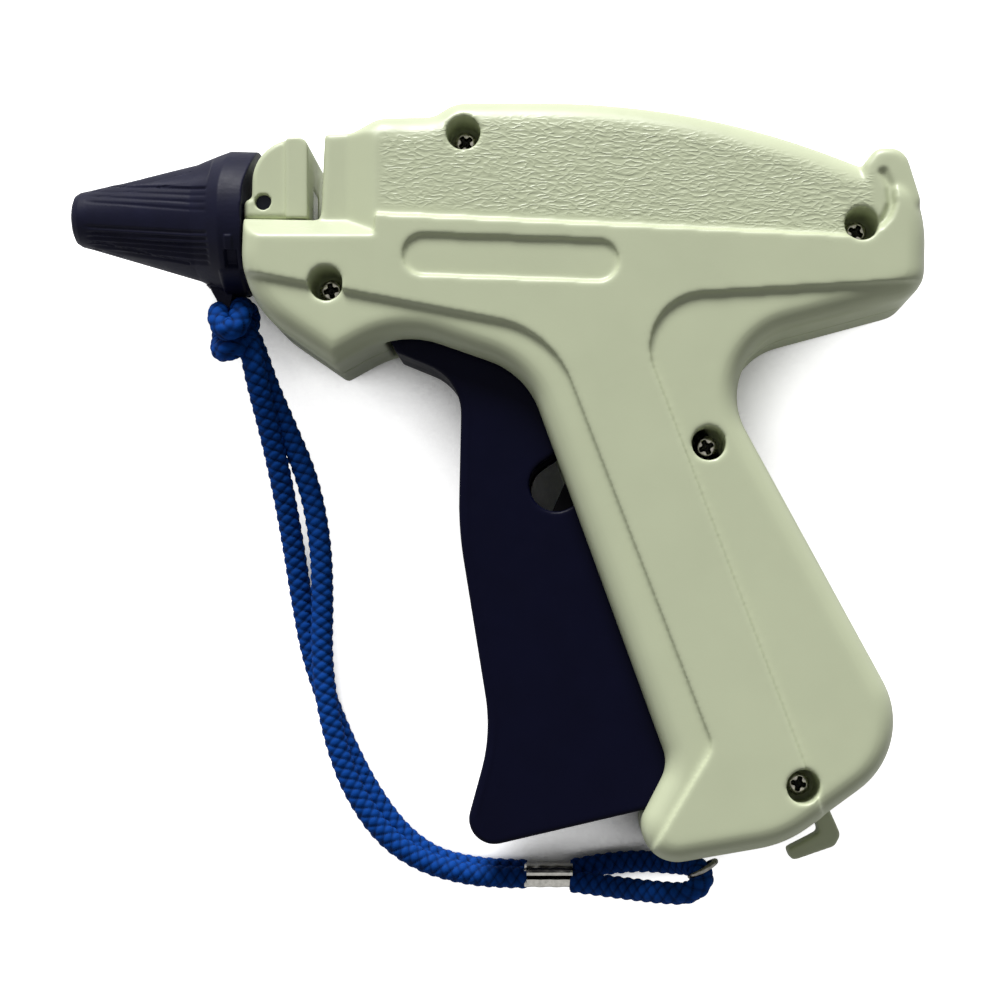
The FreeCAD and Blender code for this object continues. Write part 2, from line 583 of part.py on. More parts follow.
def make_nose_block():
    """The half-round block over the needle's foot, beside the clip slot."""
    body = slab(NOSE_OUTLINE, *about_split(NOSE_HALF_WIDTH))
    band = slab(((-36.6, 40.0, 0), (-36.6, 60.0, 0), (-30.0, 60.0, 0), (-30.0, 40.0, 0)), 0, CASE_WIDTH)
    rim = edges_at(body, SPLIT + NOSE_HALF_WIDTH) + edges_at(body, SPLIT - NOSE_HALF_WIDTH)
    raised = slab(NOSE_OUTLINE, *about_split(NOSE_HALF_WIDTH + 0.7)).common(band)
    body = body.makeFillet(0.8, rim).fuse(raised)
    for side in (1, -1):
        pocket_z = sorted(SPLIT + side * (z + offset) for z, offset in zip(EAR_Z, (-GAP, GAP)))
        body = body.cut(track([LOCK_PIN, (LOCK_PIN[0] + 1.5, AXIS_Y - 1.9)], EAR_R + GAP, *pocket_z))
    body = body.cut(bar(-50.0, NEEDLE_BASE_REAR + 0.2, NEEDLE_BASE_R + FIT))
    body = body.cut(bar(NEEDLE_BASE_REAR, CLIP_SLOT[0] + 1, ROD_R + GAP))
    body = body.cut(block((BLADE_X - 0.1, CLIP_SLOT[0] + 0.5), (AXIS_Y - 0.9, BLADE_TOP), about_split(3.3)))
    return body.cut(post(LOCK_PIN, LOCK_PIN_R + FIT, 0, CASE_WIDTH)).removeSplitter()


def make_lock_pin():
    """The pin that locks the needle's foot and holds the nose block on the guide's ears."""
    return post(LOCK_PIN, LOCK_PIN_R, *about_split(NOSE_HALF_WIDTH - 1.5))


def make_needle():
    """The slotted hollow needle with its slanted point."""
    body = bar(NEEDLE_TIP_X, NEEDLE_BASE_FRONT + NEEDLE_SEAT, NEEDLE_R)
    body = body.cut(bar(NEEDLE_TIP_X - 1, NEEDLE_BASE_FRONT + NEEDLE_SEAT + 1, ROD_R + FIT))
    body = body.cut(block((NEEDLE_TIP_X - 1, NEEDLE_BASE_FRONT + NEEDLE_SEAT + 1), (AXIS_Y, AXIS_Y + 2),
                          about_split(0.35)))
    bevel = Part.makePolygon([Vector(NEEDLE_TIP_X - 1, AXIS_Y - NEEDLE_R - 0.3, 0),
                              Vector(NEEDLE_TIP_X + 4.2, AXIS_Y + NEEDLE_R + 0.1, 0),
                              Vector(NEEDLE_TIP_X - 1, AXIS_Y + NEEDLE_R + 0.1, 0),
                              Vector(NEEDLE_TIP_X - 1, AXIS_Y - NEEDLE_R - 0.3, 0)])
    return body.cut(Part.Face(bevel).extrude(Vector(0, 0, CASE_WIDTH)))


def make_needle_base():
    """The needle's moulded foot: a stepped cylinder with a cross groove for the lock pin."""
    body = bar(NEEDLE_BASE_FRONT, NEEDLE_BASE_REAR, NEEDLE_BASE_R)
    body = body.makeChamfer(0.4, [edge for edge in body.Edges if edge.Length < 6.3 * NEEDLE_BASE_R
                                  and abs(edge.BoundBox.XLength) < 1e-6])
    body = body.cut(bar(NEEDLE_BASE_FRONT - 1, NEEDLE_BASE_FRONT + NEEDLE_SEAT, NEEDLE_R))
    body = body.cut(bar(NEEDLE_BASE_FRONT + NEEDLE_SEAT - 1, NEEDLE_BASE_REAR + 1, ROD_R + FIT))
    body = body.cut(block((NEEDLE_BASE_FRONT - 1, NEEDLE_BASE_REAR + 1),
                          (AXIS_Y, AXIS_Y + NEEDLE_BASE_R + 1), about_split(0.45)))
    return body.cut(post(LOCK_PIN, LOCK_PIN_R + FIT, 0, CASE_WIDTH))


def make_cutter():
    """The small blade behind the nose block that cuts a fastener off its clip."""
    edge_y = AXIS_Y + ROD_R + GAP
    profile = Part.makePolygon([Vector(x, y, 0) for x, y in (
        (BLADE_X, BLADE_TOP), (BLADE_X + 0.5, BLADE_TOP), (BLADE_X + 0.5, edge_y),
        (BLADE_X, edge_y + 0.9), (BLADE_X, BLADE_TOP))])
    blade = Part.Face(profile).extrude(Vector(0, 0, 6.0))
    blade.translate(Vector(0, 0, SPLIT - 3.0))
    return blade


def make_feed_wheel():
    """The toothed wheel that advances the fastener clip."""
    corners = []
    pitch = 360.0 / WHEEL_TEETH
    for tooth in range(WHEEL_TEETH):
        middle = FIRST_TOOTH + tooth * pitch
        for radius, offset in ((WHEEL_ROOT_R, -0.34), (WHEEL_TIP_R, -0.10),
                               (WHEEL_TIP_R, 0.10), (WHEEL_ROOT_R, 0.34)):
            corners.append(polar(WHEEL_CENTRE, radius, middle + offset * pitch) + (0,))
    low, high = about_split(WHEEL_WIDTH / 2)
    return slab(corners, low, high).cut(post(WHEEL_CENTRE, WHEEL_AXLE_R + FIT, low, high))


def make_wheel_axle():
    """The feed wheel's axle, held in both case halves."""
    return post(WHEEL_CENTRE, WHEEL_AXLE_R, *about_split(FRONT_BAND - WALL - SPLIT - FIT))


LIP_TOP = AXIS_Y + CARRIAGE_HEIGHT / 2 + FIT + GUIDE_LIP    # top of the slide's upper lips
SEAT_X = (across(-13.9), across(-10.9))
LEAF_Y = LIP_TOP + 2.0
LEAF = 0.4                   # thickness of the detent leaf
LEAF_HALF_WIDTH = 1.6


def leaf(points, thickness, half_width):
    """A bent leaf spring of constant thickness."""
    return track(points, thickness / 2, *about_split(half_width))


def make_detent_spring():
    """The leaf whose end rests in a gap of the feed wheel and stops it turning back."""
    rest = polar(WHEEL_CENTRE, WHEEL_ROOT_R + 0.5, 180.0 / WHEEL_TEETH)
    bend = (rest[0] + 2.2, rest[1] + 1.6)
    return leaf([rest, bend, (SEAT_X[0], LEAF_Y), (SEAT_X[1] - 0.6, LEAF_Y)], LEAF, LEAF_HALF_WIDTH)


def make_spring_seat():
    """The small moulded block that grips the detent spring, seated on the slide's upper lips."""
    body = block(SEAT_X, (LIP_TOP, LEAF_Y + 2.0), about_split(5.0))
    slot_y = (LEAF_Y - LEAF / 2 - FIT, LEAF_Y + LEAF / 2 + FIT)
    return body.cut(block((SEAT_X[0] - 1, SEAT_X[1] - 0.3), slot_y, about_split(LEAF_HALF_WIDTH + FIT)))


# ---------------------------------------------------------------- cap
CAP_AXIS_Y = upward(46.8)
CAP_PROFILE = ((-75.8, 2.4), (-75.2, 3.8), (-72.8, 5.0), (-53.3, 10.1), (-48.1, 12.5), (-41.5, 12.3))
CAP_LUG = ((-50.5, -46.9), (29.9, 38.5), (13.0, 17.0))
CAP_BORE_END = NEEDLE_TIP_X - 3.0
CAP_BORE_R = 2.4
CAP_GROOVES = 16
CAP_GROOVE_DEPTH = 0.35


def make_cap():
    """The push-on needle cap: a ribbed cone with a lug for the cord under its collar."""
    points = [Vector(x, CAP_AXIS_Y + radius, SPLIT) for x, radius in CAP_PROFILE]
    points = [Vector(points[0].x, CAP_AXIS_Y, SPLIT)] + points
    points += [Vector(points[-1].x, CAP_AXIS_Y, SPLIT), points[0]]
    cone = Part.Face(Part.makePolygon(points)).revolve(Vector(0, CAP_AXIS_Y, SPLIT), Vector(1, 0, 0), 360)
    body = cone.fuse(block(*CAP_LUG))
    body = body.cut(grown_slab(CASE_OUTLINE, GAP, -1, CASE_WIDTH + 1))
    body = body.cut(grown_slab(NOSE_OUTLINE, GAP, -1, CASE_WIDTH + 1))
    body = body.cut(block((-44.0, -30.0), (20.0, 62.0), (-1, CASE_WIDTH + 1)))
    body = body.cut(bar(NEEDLE_BASE_FRONT - GAP, -30.0, NEEDLE_BASE_R + FIT))
    body = body.cut(bar(CAP_BORE_END, NEEDLE_BASE_FRONT, CAP_BORE_R))
    (tip_x, tip_r), (collar_x, collar_r) = CAP_PROFILE[2], CAP_PROFILE[3]
    rise = math.degrees(math.atan2(collar_r - tip_r, collar_x - tip_x))
    for step in range(CAP_GROOVES):
        groove = Part.makeBox(collar_x - tip_x + 2.0, 1.0, 0.5, Vector(tip_x - 2.0, 0, -0.25))
        groove.rotate(Vector(tip_x, 0, 0), Vector(0, 0, 1), rise)
        groove.translate(Vector(0, tip_r - CAP_GROOVE_DEPTH, 0))
        groove.rotate(Vector(0, 0, 0), Vector(1, 0, 0), 360.0 * (step + 0.5) / CAP_GROOVES)
        groove.translate(Vector(0, CAP_AXIS_Y, SPLIT))
        body = body.cut(groove)
    return body.removeSplitter()


# ---------------------------------------------------------------- cord
def cord_tube(name, route):
    """A run of cord along its route, with its length and its bends reported."""
    tube, path, radii = bent_tube(route, CORD_R)
    expected = math.pi * CORD_R ** 2 * path.Length
    print(name, "length", round(path.Length, 1), "radii", [round(radius, 1) for radius in radii],
          "volume ratio", round(tube.Volume / expected, 4))
    return tube


KNOT_OUTLINE = (
    (-51.6, 33.1, 3), (-51.6, 22.5, 3.4), (-43.1, 22.5, 3), (-43.1, 28.6, 2), (-45.3, 33.1, 2))
KNOT_HALF_WIDTH = 4.9


def make_knot():
    """The outer shape of the knot around the cap's lug."""
    low, high = about_split(KNOT_HALF_WIDTH)
    body = slab(KNOT_OUTLINE, low, high)
    body = body.makeFillet(1.9, edges_at(body, low) + edges_at(body, high))
    body = body.cut(block(*CAP_LUG))
    return body.cut(grown_slab(CASE_OUTLINE, 3 * GAP, -1, CASE_WIDTH + 1))


def make_ferrule():
    """The crimped metal sleeve that joins the strands and the ring loop."""
    body = block(*FERRULE)
    return body.makeFillet(1.9, [edge for edge in body.Edges if edge.BoundBox.XLength > 1])


def make_eye():
    """The wire eye whose neck is held between the case halves."""
    ring = Part.makeTorus(EYE_HOLE_R + EYE_WIRE_R, EYE_WIRE_R, Vector(*EYE_CENTRE, SPLIT))
    neck_start = EYE_CENTRE[1] + EYE_HOLE_R + EYE_WIRE_R
    neck = Part.makeCylinder(EYE_WIRE_R, upward(-57.6) - neck_start, Vector(EYE_CENTRE[0], neck_start, SPLIT),
                             Vector(0, 1, 0))
    return ring.fuse(neck)


# ---------------------------------------------------------------- build
def main():
    """Build every node and write it to its own file."""
    os.makedirs("parts", exist_ok=True)
    shell = half_shell()
    save("left_shell", make_left_shell(shell))
    save("right_shell", make_right_shell(shell))
    save("case_screws", *[make_screw(place) for place in SCREW_PLACES])
    save("trigger", make_trigger())
    save("trigger_pin", post(TRIGGER_PIVOT, TRIGGER_PIN_R, *about_split(FACE - WALL - SPLIT - FIT)))
    save("drive_lever", make_lever())
    save("lever_pin", post(LEVER_PIVOT, LINK_PIN_R, *about_split(LEVER_WIDTH / 2 + LEVER_PIN_REACH - FIT)))
    save("drive_pin", make_drive_pin())
    save("carriage", make_carriage())
    save("slider_pin", make_slider_pin())
    save("ejector_rod", make_rod())
    save("return_spring", make_spring())
    save("front_guide", make_front_guide())
    save("nose_block", make_nose_block())
    save("lock_pin", make_lock_pin())
    save("needle", make_needle())
    save("needle_base", make_needle_base())
    save("cutter_blade", make_cutter())
    save("feed_wheel", make_feed_wheel())
    save("feed_wheel_axle", make_wheel_axle())
    save("detent_spring", make_detent_spring())
    save("detent_seat", make_spring_seat())
    save("nose_cap", make_cap())
    save("cord_knot", make_knot())
    save("cord_strand_a", cord_tube("cord_strand_a", STRAND_A_ROUTE))
    save("cord_strand_b", cord_tube("cord_strand_b", STRAND_B_ROUTE))
    save("cord_ferrule", make_ferrule())
    save("cord_ring_loop", cord_tube("cord_ring_loop", RING_LOOP_ROUTE))
    save("lanyard_eye", make_eye())
    print("lever swing", round(LEVER_SWING, 3), "drive pin", [round(v, 2) for v in DRIVE_PIN],
          "slider pin x", SLIDER_PIN_X)


main()
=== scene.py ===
"""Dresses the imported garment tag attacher: soft-edged mouldings, a ribbed needle cap,
a braided safety cord with its knot and crimp, and a plain studio.

Places are written in drawn millimetres and turned to the frame's metres by place(); other
lengths are turned by mm().
"""
import logging
import math
from dataclasses import dataclass, field
from enum import Enum

import bpy
import numpy as np
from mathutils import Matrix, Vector


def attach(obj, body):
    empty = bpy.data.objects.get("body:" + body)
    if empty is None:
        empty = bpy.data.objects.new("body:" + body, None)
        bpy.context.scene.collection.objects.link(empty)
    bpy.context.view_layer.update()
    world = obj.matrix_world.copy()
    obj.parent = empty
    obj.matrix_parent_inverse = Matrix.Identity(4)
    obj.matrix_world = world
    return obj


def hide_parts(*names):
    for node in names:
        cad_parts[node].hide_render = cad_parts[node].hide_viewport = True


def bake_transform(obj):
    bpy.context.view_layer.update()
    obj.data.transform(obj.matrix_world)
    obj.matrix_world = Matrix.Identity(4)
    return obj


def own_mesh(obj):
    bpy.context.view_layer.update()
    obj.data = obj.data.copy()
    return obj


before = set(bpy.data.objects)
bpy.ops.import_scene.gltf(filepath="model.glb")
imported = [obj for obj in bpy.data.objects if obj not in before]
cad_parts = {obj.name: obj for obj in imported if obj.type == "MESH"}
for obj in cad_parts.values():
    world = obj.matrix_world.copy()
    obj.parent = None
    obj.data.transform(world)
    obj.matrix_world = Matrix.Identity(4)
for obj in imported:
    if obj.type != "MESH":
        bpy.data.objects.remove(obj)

LOG = logging.getLogger("tag_attacher")

Pair = tuple[float, float]
Point = tuple[float, float, float]

# The frame's origin in drawn x and y, the level where the case halves meet, and the level of
# the near half's face.
ORIGIN: Pair = (-1.579, -3.3)
SPLIT = 15.0
FACE = 29.0
FACE_DEPTH = FACE - SPLIT
CORD_DIAMETER = 3.8
# The values between which most of a noise texture lies.
NOISE_RANGE: Pair = (0.3, 0.7)
# How finely a route is followed between two of its points.
ROUTE_STEPS = 24
# A line that starts steeper than this takes its first side square to x and not to z.
STEEP = 0.9

# Both strands run from inside the knot to inside the crimp, and the loop from there through
# the eye and back.
STRAND_A_ROUTE: tuple[Point, ...] = (
    (-45.3, 28.0, 14.6), (-44.2, 24.2, 16.3), (-43.2, 18.1, 14.6), (-41.6, 10.5, 11.2),
    (-40.0, 1.8, 8.2), (-38.4, -8.8, 5.2), (-37.0, -19.6, 3.2), (-35.3, -29.6, 2.15),
    (-32.5, -37.9, 2.1), (-29.1, -46.1, 2.1), (-24.9, -54.3, 2.1), (-19.4, -62.0, 2.1),
    (-13.3, -66.6, 2.1), (-6.8, -68.3, 2.1), (-0.9, -68.9, 2.1), (4.0, -69.0, 2.2))
STRAND_B_ROUTE: tuple[Point, ...] = (
    (-45.0, 27.0, 11.4), (-43.6, 23.6, 12.2), (-42.0, 18.4, 11.0), (-38.8, 10.7, 9.0),
    (-35.2, 1.9, 7.6), (-33.1, -8.9, 6.8), (-32.8, -19.7, 6.1), (-33.1, -29.6, 5.8),
    (-32.2, -37.8, 5.8), (-30.4, -45.9, 5.7), (-27.4, -54.1, 5.6), (-22.0, -62.2, 5.6),
    (-15.3, -66.9, 5.6), (-8.4, -69.0, 5.6), (-1.7, -69.9, 5.6), (4.1, -69.9, 5.6))
RING_LOOP_ROUTE: tuple[Point, ...] = (
    (12.3, -68.9, 2.3), (17.8, -67.8, 2.2), (24.7, -67.2, 2.6), (30.8, -67.3, 5.6),
    (34.4, -67.1, 10.6), (35.9, -69.4, 14.2), (33.2, -71.7, 15.2), (28.9, -71.8, 13.4),
    (23.4, -71.6, 10.0), (17.7, -71.2, 7.0), (12.3, -70.6, 5.8))

# The knot's own line: from strand A up behind the lug, over its front, and down to strand B.
KNOT_ROUTE: tuple[Point, ...] = (
    (-44.9, 25.2, 15.9), (-45.6, 27.8, 14.6), (-45.1, 29.3, 11.6), (-45.3, 31.5, 11.4),
    (-46.3, 31.9, 14.6), (-45.4, 30.2, 18.6), (-45.9, 27.8, 19.6), (-47.4, 26.8, 20.0),
    (-49.1, 28.0, 19.2), (-49.6, 30.5, 17.4), (-49.8, 31.0, 12.6), (-49.8, 28.8, 10.9),
    (-49.8, 25.7, 12.4), (-49.3, 23.8, 16.4), (-47.5, 23.9, 18.2), (-46.0, 24.6, 16.6),
    (-45.2, 25.9, 13.2), (-44.7, 25.7, 11.8), (-44.2, 24.5, 12.0))


class Body(Enum):
    """The bodies that the made pieces ride on."""

    HOUSING = "housing"
    TRIGGER = "trigger"
    NOSE_CAP = "nose_cap"


def mm(value: float) -> float:
    """Millimetres to metres."""
    return value / 1000.0


def place(x: float, y: float, z: float) -> Vector:
    """A drawn point in millimetres as a point of the frame in metres."""
    return Vector((mm(x - ORIGIN[0]), mm(y - ORIGIN[1]), mm(z)))


def linear(hex_colour: str) -> tuple[float, float, float, float]:
    """An sRGB hex colour as linear RGBA.

    Args:
        hex_colour: six hexadecimal digits, without a hash.

    Returns:
        Red, green, blue and alpha.
    """
    channels = [int(hex_colour[i:i + 2], 16) / 255 for i in (0, 2, 4)]
    turned = [c / 12.92 if c <= 0.04045 else ((c + 0.055) / 1.055) ** 2.4 for c in channels]
    return (*turned, 1.0)


def add_node(tree: bpy.types.NodeTree, kind: str, inputs: dict | None = None,
             **settings: object) -> bpy.types.Node:
    """Adds a shader node with its settings, and fills or links its inputs.

    Args:
        tree: the material's node tree.
        kind: the node's type name, without the "ShaderNode" prefix.
        inputs: values or output sockets by the input's name or number.
        settings: attributes of the node.

    Returns:
        The new node.
    """
    node = tree.nodes.new("ShaderNode" + kind)
    for name, value in settings.items():
        setattr(node, name, value)
    for name, value in (inputs or {}).items():
        if isinstance(value, bpy.types.NodeSocket):
            tree.links.new(value, node.inputs[name])
        else:
            node.inputs[name].default_value = value
    return node


# ---------------------------------------------------------------- shapes in general
def add_object(name: str, mesh: bpy.types.Mesh) -> bpy.types.Object:
    """Puts a mesh into the scene as an object.

    Args:
        name: the object's name.
        mesh: what it shows.

    Returns:
        The new object.
    """
    thing = bpy.data.objects.new(name, mesh)
    bpy.context.scene.collection.objects.link(thing)
    return thing


def mesh_object(name: str, points: np.ndarray | list, faces: list, material: bpy.types.Material,
                smooth: bool = True) -> bpy.types.Object:
    """Makes an object from points and faces.

    Args:
        name: the object's name.
        points: its points in metres.
        faces: point numbers of each face.
        material: its first material.
        smooth: whether its faces are shaded as one rounded surface.

    Returns:
        The new object.
    """
    mesh = bpy.data.meshes.new(name)
    mesh.from_pydata([tuple(p) for p in points], [], faces)
    mesh.validate()
    mesh.polygons.foreach_set("use_smooth", [smooth] * len(mesh.polygons))
    mesh.materials.append(material)
    return add_object(name, mesh)


def settle(thing: bpy.types.Object, body: Body, node: str) -> None:
    """Lets a piece ride on its body, hides the node that it replaces, and reports it.

    Args:
        thing: the piece.
        body: what it moves with.
        node: the node that it replaces.
    """
    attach(thing, body.value)
    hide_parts(node)
    LOG.info("%s: %d faces", thing.name, len(thing.data.polygons))


def write_layer(mesh: bpy.types.Mesh, name: str, values: np.ndarray) -> None:
    """Writes one value per point for a material to read."""
    layer = mesh.attributes.new(name, "FLOAT", "POINT")
    layer.data.foreach_set("value", values.reshape(-1).astype(np.float32))


def drawn_points(mesh: bpy.types.Mesh) -> np.ndarray:
    """A mesh's points in drawn millimetres.

    Args:
        mesh: the mesh to read.

    Returns:
        One row of x, y and z per point.
    """
    points = np.empty(len(mesh.vertices) * 3)
    mesh.vertices.foreach_get("co", points)
    return points.reshape(-1, 3) * 1000.0 + (*ORIGIN, 0.0)


def set_drawn_points(mesh: bpy.types.Mesh, points: np.ndarray) -> None:
    """Moves a mesh's points.

    Args:
        mesh: the mesh to change.
        points: where its points go, in drawn millimetres.
    """
    moved = (points - (*ORIGIN, 0.0)) / 1000.0
    mesh.vertices.foreach_set("co", moved.reshape(-1))
    mesh.update()


def smooth_step(low: float, high: float, value: np.ndarray | float) -> np.ndarray:
    """0 below low, 1 above high, and a soft rise between."""
    share = np.clip((value - low) / (high - low), 0.0, 1.0)
    return share * share * (3 - 2 * share)


def patch(points: np.ndarray, across: Pair, along: Pair, soft: float = 0.3) -> np.ndarray:
    """1 within a rectangle of drawn x and y, 0 outside it, with a soft edge.

    Args:
        points: drawn points, one row each.
        across: the rectangle's range in x.
        along: its range in y.
        soft: how wide its edges are.

    Returns:
        One share per point.
    """
    inside = np.ones(len(points))
    for axis, (low, high) in enumerate((across, along)):
        inside *= smooth_step(low - soft / 2, low + soft / 2, points[:, axis])
        inside *= 1 - smooth_step(high - soft / 2, high + soft / 2, points[:, axis])
    return inside


def distance_to_line(points: np.ndarray, corners: tuple[Pair, ...]) -> np.ndarray:
    """How far each point lies from a bent line, in x and y.

    Args:
        points: drawn points, one row each.
        corners: the line's ends and bends.

    Returns:
        One distance per point.
    """
    nearest = np.full(len(points), np.inf)
    for start, end in zip(np.array(corners), np.array(corners)[1:]):
        run = end - start
        share = np.clip((points[:, :2] - start) @ run / (run @ run), 0.0, 1.0)
        away = np.linalg.norm(points[:, :2] - start - share[:, None] * run, axis=1)
        nearest = np.minimum(nearest, away)
    return nearest


def edge_beside(along: np.ndarray, across: np.ndarray, step: float, farthest: bool) -> np.ndarray:
    """Where a shape's outline lies beside each of its points.

    Args:
        along: each point's place in one direction.
        across: its place in the other.
        step: how finely the outline is followed.
        farthest: whether the outline is the largest value across, and not the smallest.

    Returns:
        The outline's value across, beside each point.
    """
    low = along.min()
    bins = ((along - low) / step).astype(int)
    edge = np.full(bins.max() + 1, -np.inf if farthest else np.inf)
    (np.maximum if farthest else np.minimum).at(edge, bins, across)
    middles = low + (np.arange(len(edge)) + 0.5) * step
    return np.interp(along, middles, edge)


# ---------------------------------------------------------------- finishes
@dataclass(frozen=True)
class Finish:
    """A surface finish: its name, its colour and how it scatters light."""

    name: str
    colour: str
    roughness: float
    metallic: float = 0.0
    gloss: float = 0.5
    mottle: float = 0.04
    mottle_mm: float = 6.0
    # The real grit of a moulded or drawn skin is finer; it is drawn as coarse as it has to show.
    bump_mm: float = 0.0
    bump_size_mm: float = 0.3
    bump_strength: float = 0.6
    gloss_spread: float = 0.05
    gloss_patch_mm: float = 3.0

    def start(self) -> tuple[bpy.types.Material, bpy.types.Node, bpy.types.NodeSocket]:
        """Makes the material with its plain values.

        Returns:
            The material, its surface shader and the output of object coordinates.
        """
        material = bpy.data.materials.new(self.name)
        material.use_nodes = True
        tree = material.node_tree
        shader = tree.nodes["Principled BSDF"]
        shader.inputs["Metallic"].default_value = self.metallic
        shader.inputs["Base Color"].default_value = linear(self.colour)
        shader.inputs["Roughness"].default_value = self.roughness
        shader.inputs["Specular IOR Level"].default_value = self.gloss
        return material, shader, add_node(tree, "TexCoord").outputs["Object"]

    def tinted(self, tree: bpy.types.NodeTree, where: bpy.types.NodeSocket) -> bpy.types.Node:
        """A slow, faint mottling of the colour, as uneven moulding and handling leave; on the
        screws' nickel it is painted glints.

        Args:
            tree: the material's node tree.
            where: object coordinates.

        Returns:
            The node that gives the colour.
        """
        noise = add_node(tree, "TexNoise", {"Vector": where, "Scale": 1 / mm(self.mottle_mm),
                                            "Detail": 3.0})
        ramp = add_node(tree, "ValToRGB", {"Fac": noise.outputs["Fac"]})
        base = Vector(linear(self.colour)[:3])
        for stop, at, sign in zip(ramp.color_ramp.elements, NOISE_RANGE, (-1, 1)):
            stop.position = at
            stop.color = (*(base * (1 + sign * self.mottle)), 1)
        return ramp

    def uneven_gloss(self, tree: bpy.types.NodeTree,
                     where: bpy.types.NodeSocket) -> bpy.types.Node:
        """Roughness that varies a little, from handling.

        Args:
            tree: the material's node tree.
            where: object coordinates.

        Returns:
            The node that gives the roughness.
        """
        noise = add_node(tree, "TexNoise", {"Vector": where, "Detail": 4.0,
                                            "Scale": 1 / mm(self.gloss_patch_mm)})
        return add_node(tree, "MapRange", {"Value": noise.outputs["Fac"],
                                           "From Min": NOISE_RANGE[0],
                                           "From Max": NOISE_RANGE[1],
                                           "To Min": self.roughness - self.gloss_spread,
                                           "To Max": self.roughness + self.gloss_spread})

    def handled(self) -> tuple[bpy.types.Material, bpy.types.Node, bpy.types.NodeSocket]:
        """Makes the material with its mottled colour and uneven gloss.

        Returns:
            The material, its surface shader and the output of object coordinates.
        """
        material, shader, where = self.start()
        tree = material.node_tree
        tree.links.new(self.tinted(tree, where).outputs["Color"], shader.inputs["Base Color"])
        gloss = self.uneven_gloss(tree, where)
        tree.links.new(gloss.outputs["Result"], shader.inputs["Roughness"])
        return material, shader, where

    def material(self) -> bpy.types.Material:
        """The finished material, with its fine bumps if it has any.

        Returns:
            The new material.
        """
        material, shader, where = self.handled()
        if self.bump_mm:
            tree = material.node_tree
            noise = add_node(tree, "TexNoise", {"Vector": where, "Detail": 2.0,
                                                "Scale": 1 / mm(self.bump_size_mm)})
            bump = add_node(tree, "Bump", {"Height": noise.outputs["Fac"],
                                           "Distance": mm(self.bump_mm),
                                           "Strength": self.bump_strength})
            tree.links.new(bump.outputs["Normal"], shader.inputs["Normal"])
        return material


@dataclass(frozen=True)
class GrainedAbs(Finish):
    """Injection-moulded ABS: a fine spark-eroded skin, and wrinkled leather grain where the
    mesh's "grain" attribute says so."""

    # Length, width and height of one wrinkle, and how far the wrinkles wander.
    wrinkle_mm: Point = (1.6, 0.64, 0.9)
    wrinkle_depth_mm: float = 0.065
    wander_scale: float = 0.45
    wander: float = 0.8
    # The skin's real grit is finer than this; it is drawn as coarse as it needs to show.
    skin_mm: float = 0.35
    skin_depth_mm: float = 0.012
    skin_strength: float = 0.5

    def wrinkles(self, tree: bpy.types.NodeTree, where: bpy.types.NodeSocket) -> bpy.types.Node:
        """Wandering ridges, longer than they are wide.

        Args:
            tree: the material's node tree.
            where: object coordinates.

        Returns:
            The node that gives the ridges' height.
        """
        stretch = add_node(tree, "Mapping", {"Vector": where,
                                             "Scale": [1 / mm(size) for size in self.wrinkle_mm]})
        sway = add_node(tree, "TexNoise", {"Vector": stretch.outputs["Vector"],
                                           "Scale": self.wander_scale})
        swayed = add_node(tree, "VectorMath", {0: sway.outputs["Color"], 1: (self.wander,) * 3},
                          operation="MULTIPLY")
        bent = add_node(tree, "VectorMath", {0: stretch.outputs["Vector"],
                                             1: swayed.outputs["Vector"]}, operation="ADD")
        return add_node(tree, "TexNoise", {"Vector": bent.outputs["Vector"], "Scale": 1.0,
                                           "Detail": 1.5, "Roughness": 0.5, "Offset": 1.0,
                                           "Gain": 1.0}, noise_type="RIDGED_MULTIFRACTAL")

    def material(self) -> bpy.types.Material:
        """The finished material.

        Returns:
            The new material.
        """
        material, shader, where = self.handled()
        tree = material.node_tree
        wrinkles = self.wrinkles(tree, where)
        grain = add_node(tree, "Attribute", attribute_name="grain")
        leather = add_node(tree, "Bump", {"Height": wrinkles.outputs["Fac"],
                                          "Distance": mm(self.wrinkle_depth_mm),
                                          "Strength": grain.outputs["Fac"]})
        fine = add_node(tree, "TexNoise", {"Vector": where, "Scale": 1 / mm(self.skin_mm),
                                           "Detail": 1.0})
        skin = add_node(tree, "Bump", {"Height": fine.outputs["Fac"],
                                       "Distance": mm(self.skin_depth_mm),
                                       "Strength": self.skin_strength,
                                       "Normal": leather.outputs["Normal"]})
        tree.links.new(skin.outputs["Normal"], shader.inputs["Normal"])
        return material


@dataclass(frozen=True)
class BraidedYarn(Finish):
    """Bright blue polyester yarn, with painted shade in the hollows between the yarns."""

    hollow_shade: str = "021638"
    # The heights of the mesh's "relief" attribute where the hollows' painted shade and the yarns'
    # backs begin.
    relief_range: Pair = (0.15, 0.85)
    # Real fibres are finer than this; they are drawn as coarse as they need to show.
    fibre_mm: float = 0.25
    fibre_depth_mm: float = 0.05
    fibre_strength: float = 0.5

    def material(self) -> bpy.types.Material:
        """The finished material.

        Returns:
            The new material.
        """
        material, shader, where = self.start()
        tree = material.node_tree
        height = add_node(tree, "Attribute", attribute_name="relief")
        # The hollows between the yarns are painted darker, as shade.
        ramp = add_node(tree, "ValToRGB", {"Fac": height.outputs["Fac"]})
        for stop, at, colour in zip(ramp.color_ramp.elements, self.relief_range,
                                    (self.hollow_shade, self.colour)):
            stop.position = at
            stop.color = linear(colour)
        tree.links.new(ramp.outputs["Color"], shader.inputs["Base Color"])
        fibres = add_node(tree, "TexNoise", {"Vector": where, "Scale": 1 / mm(self.fibre_mm),
                                             "Detail": 3.0})
        bump = add_node(tree, "Bump", {"Height": fibres.outputs["Fac"],
                                       "Distance": mm(self.fibre_depth_mm),
                                       "Strength": self.fibre_strength})
        tree.links.new(bump.outputs["Normal"], shader.inputs["Normal"])
        return material


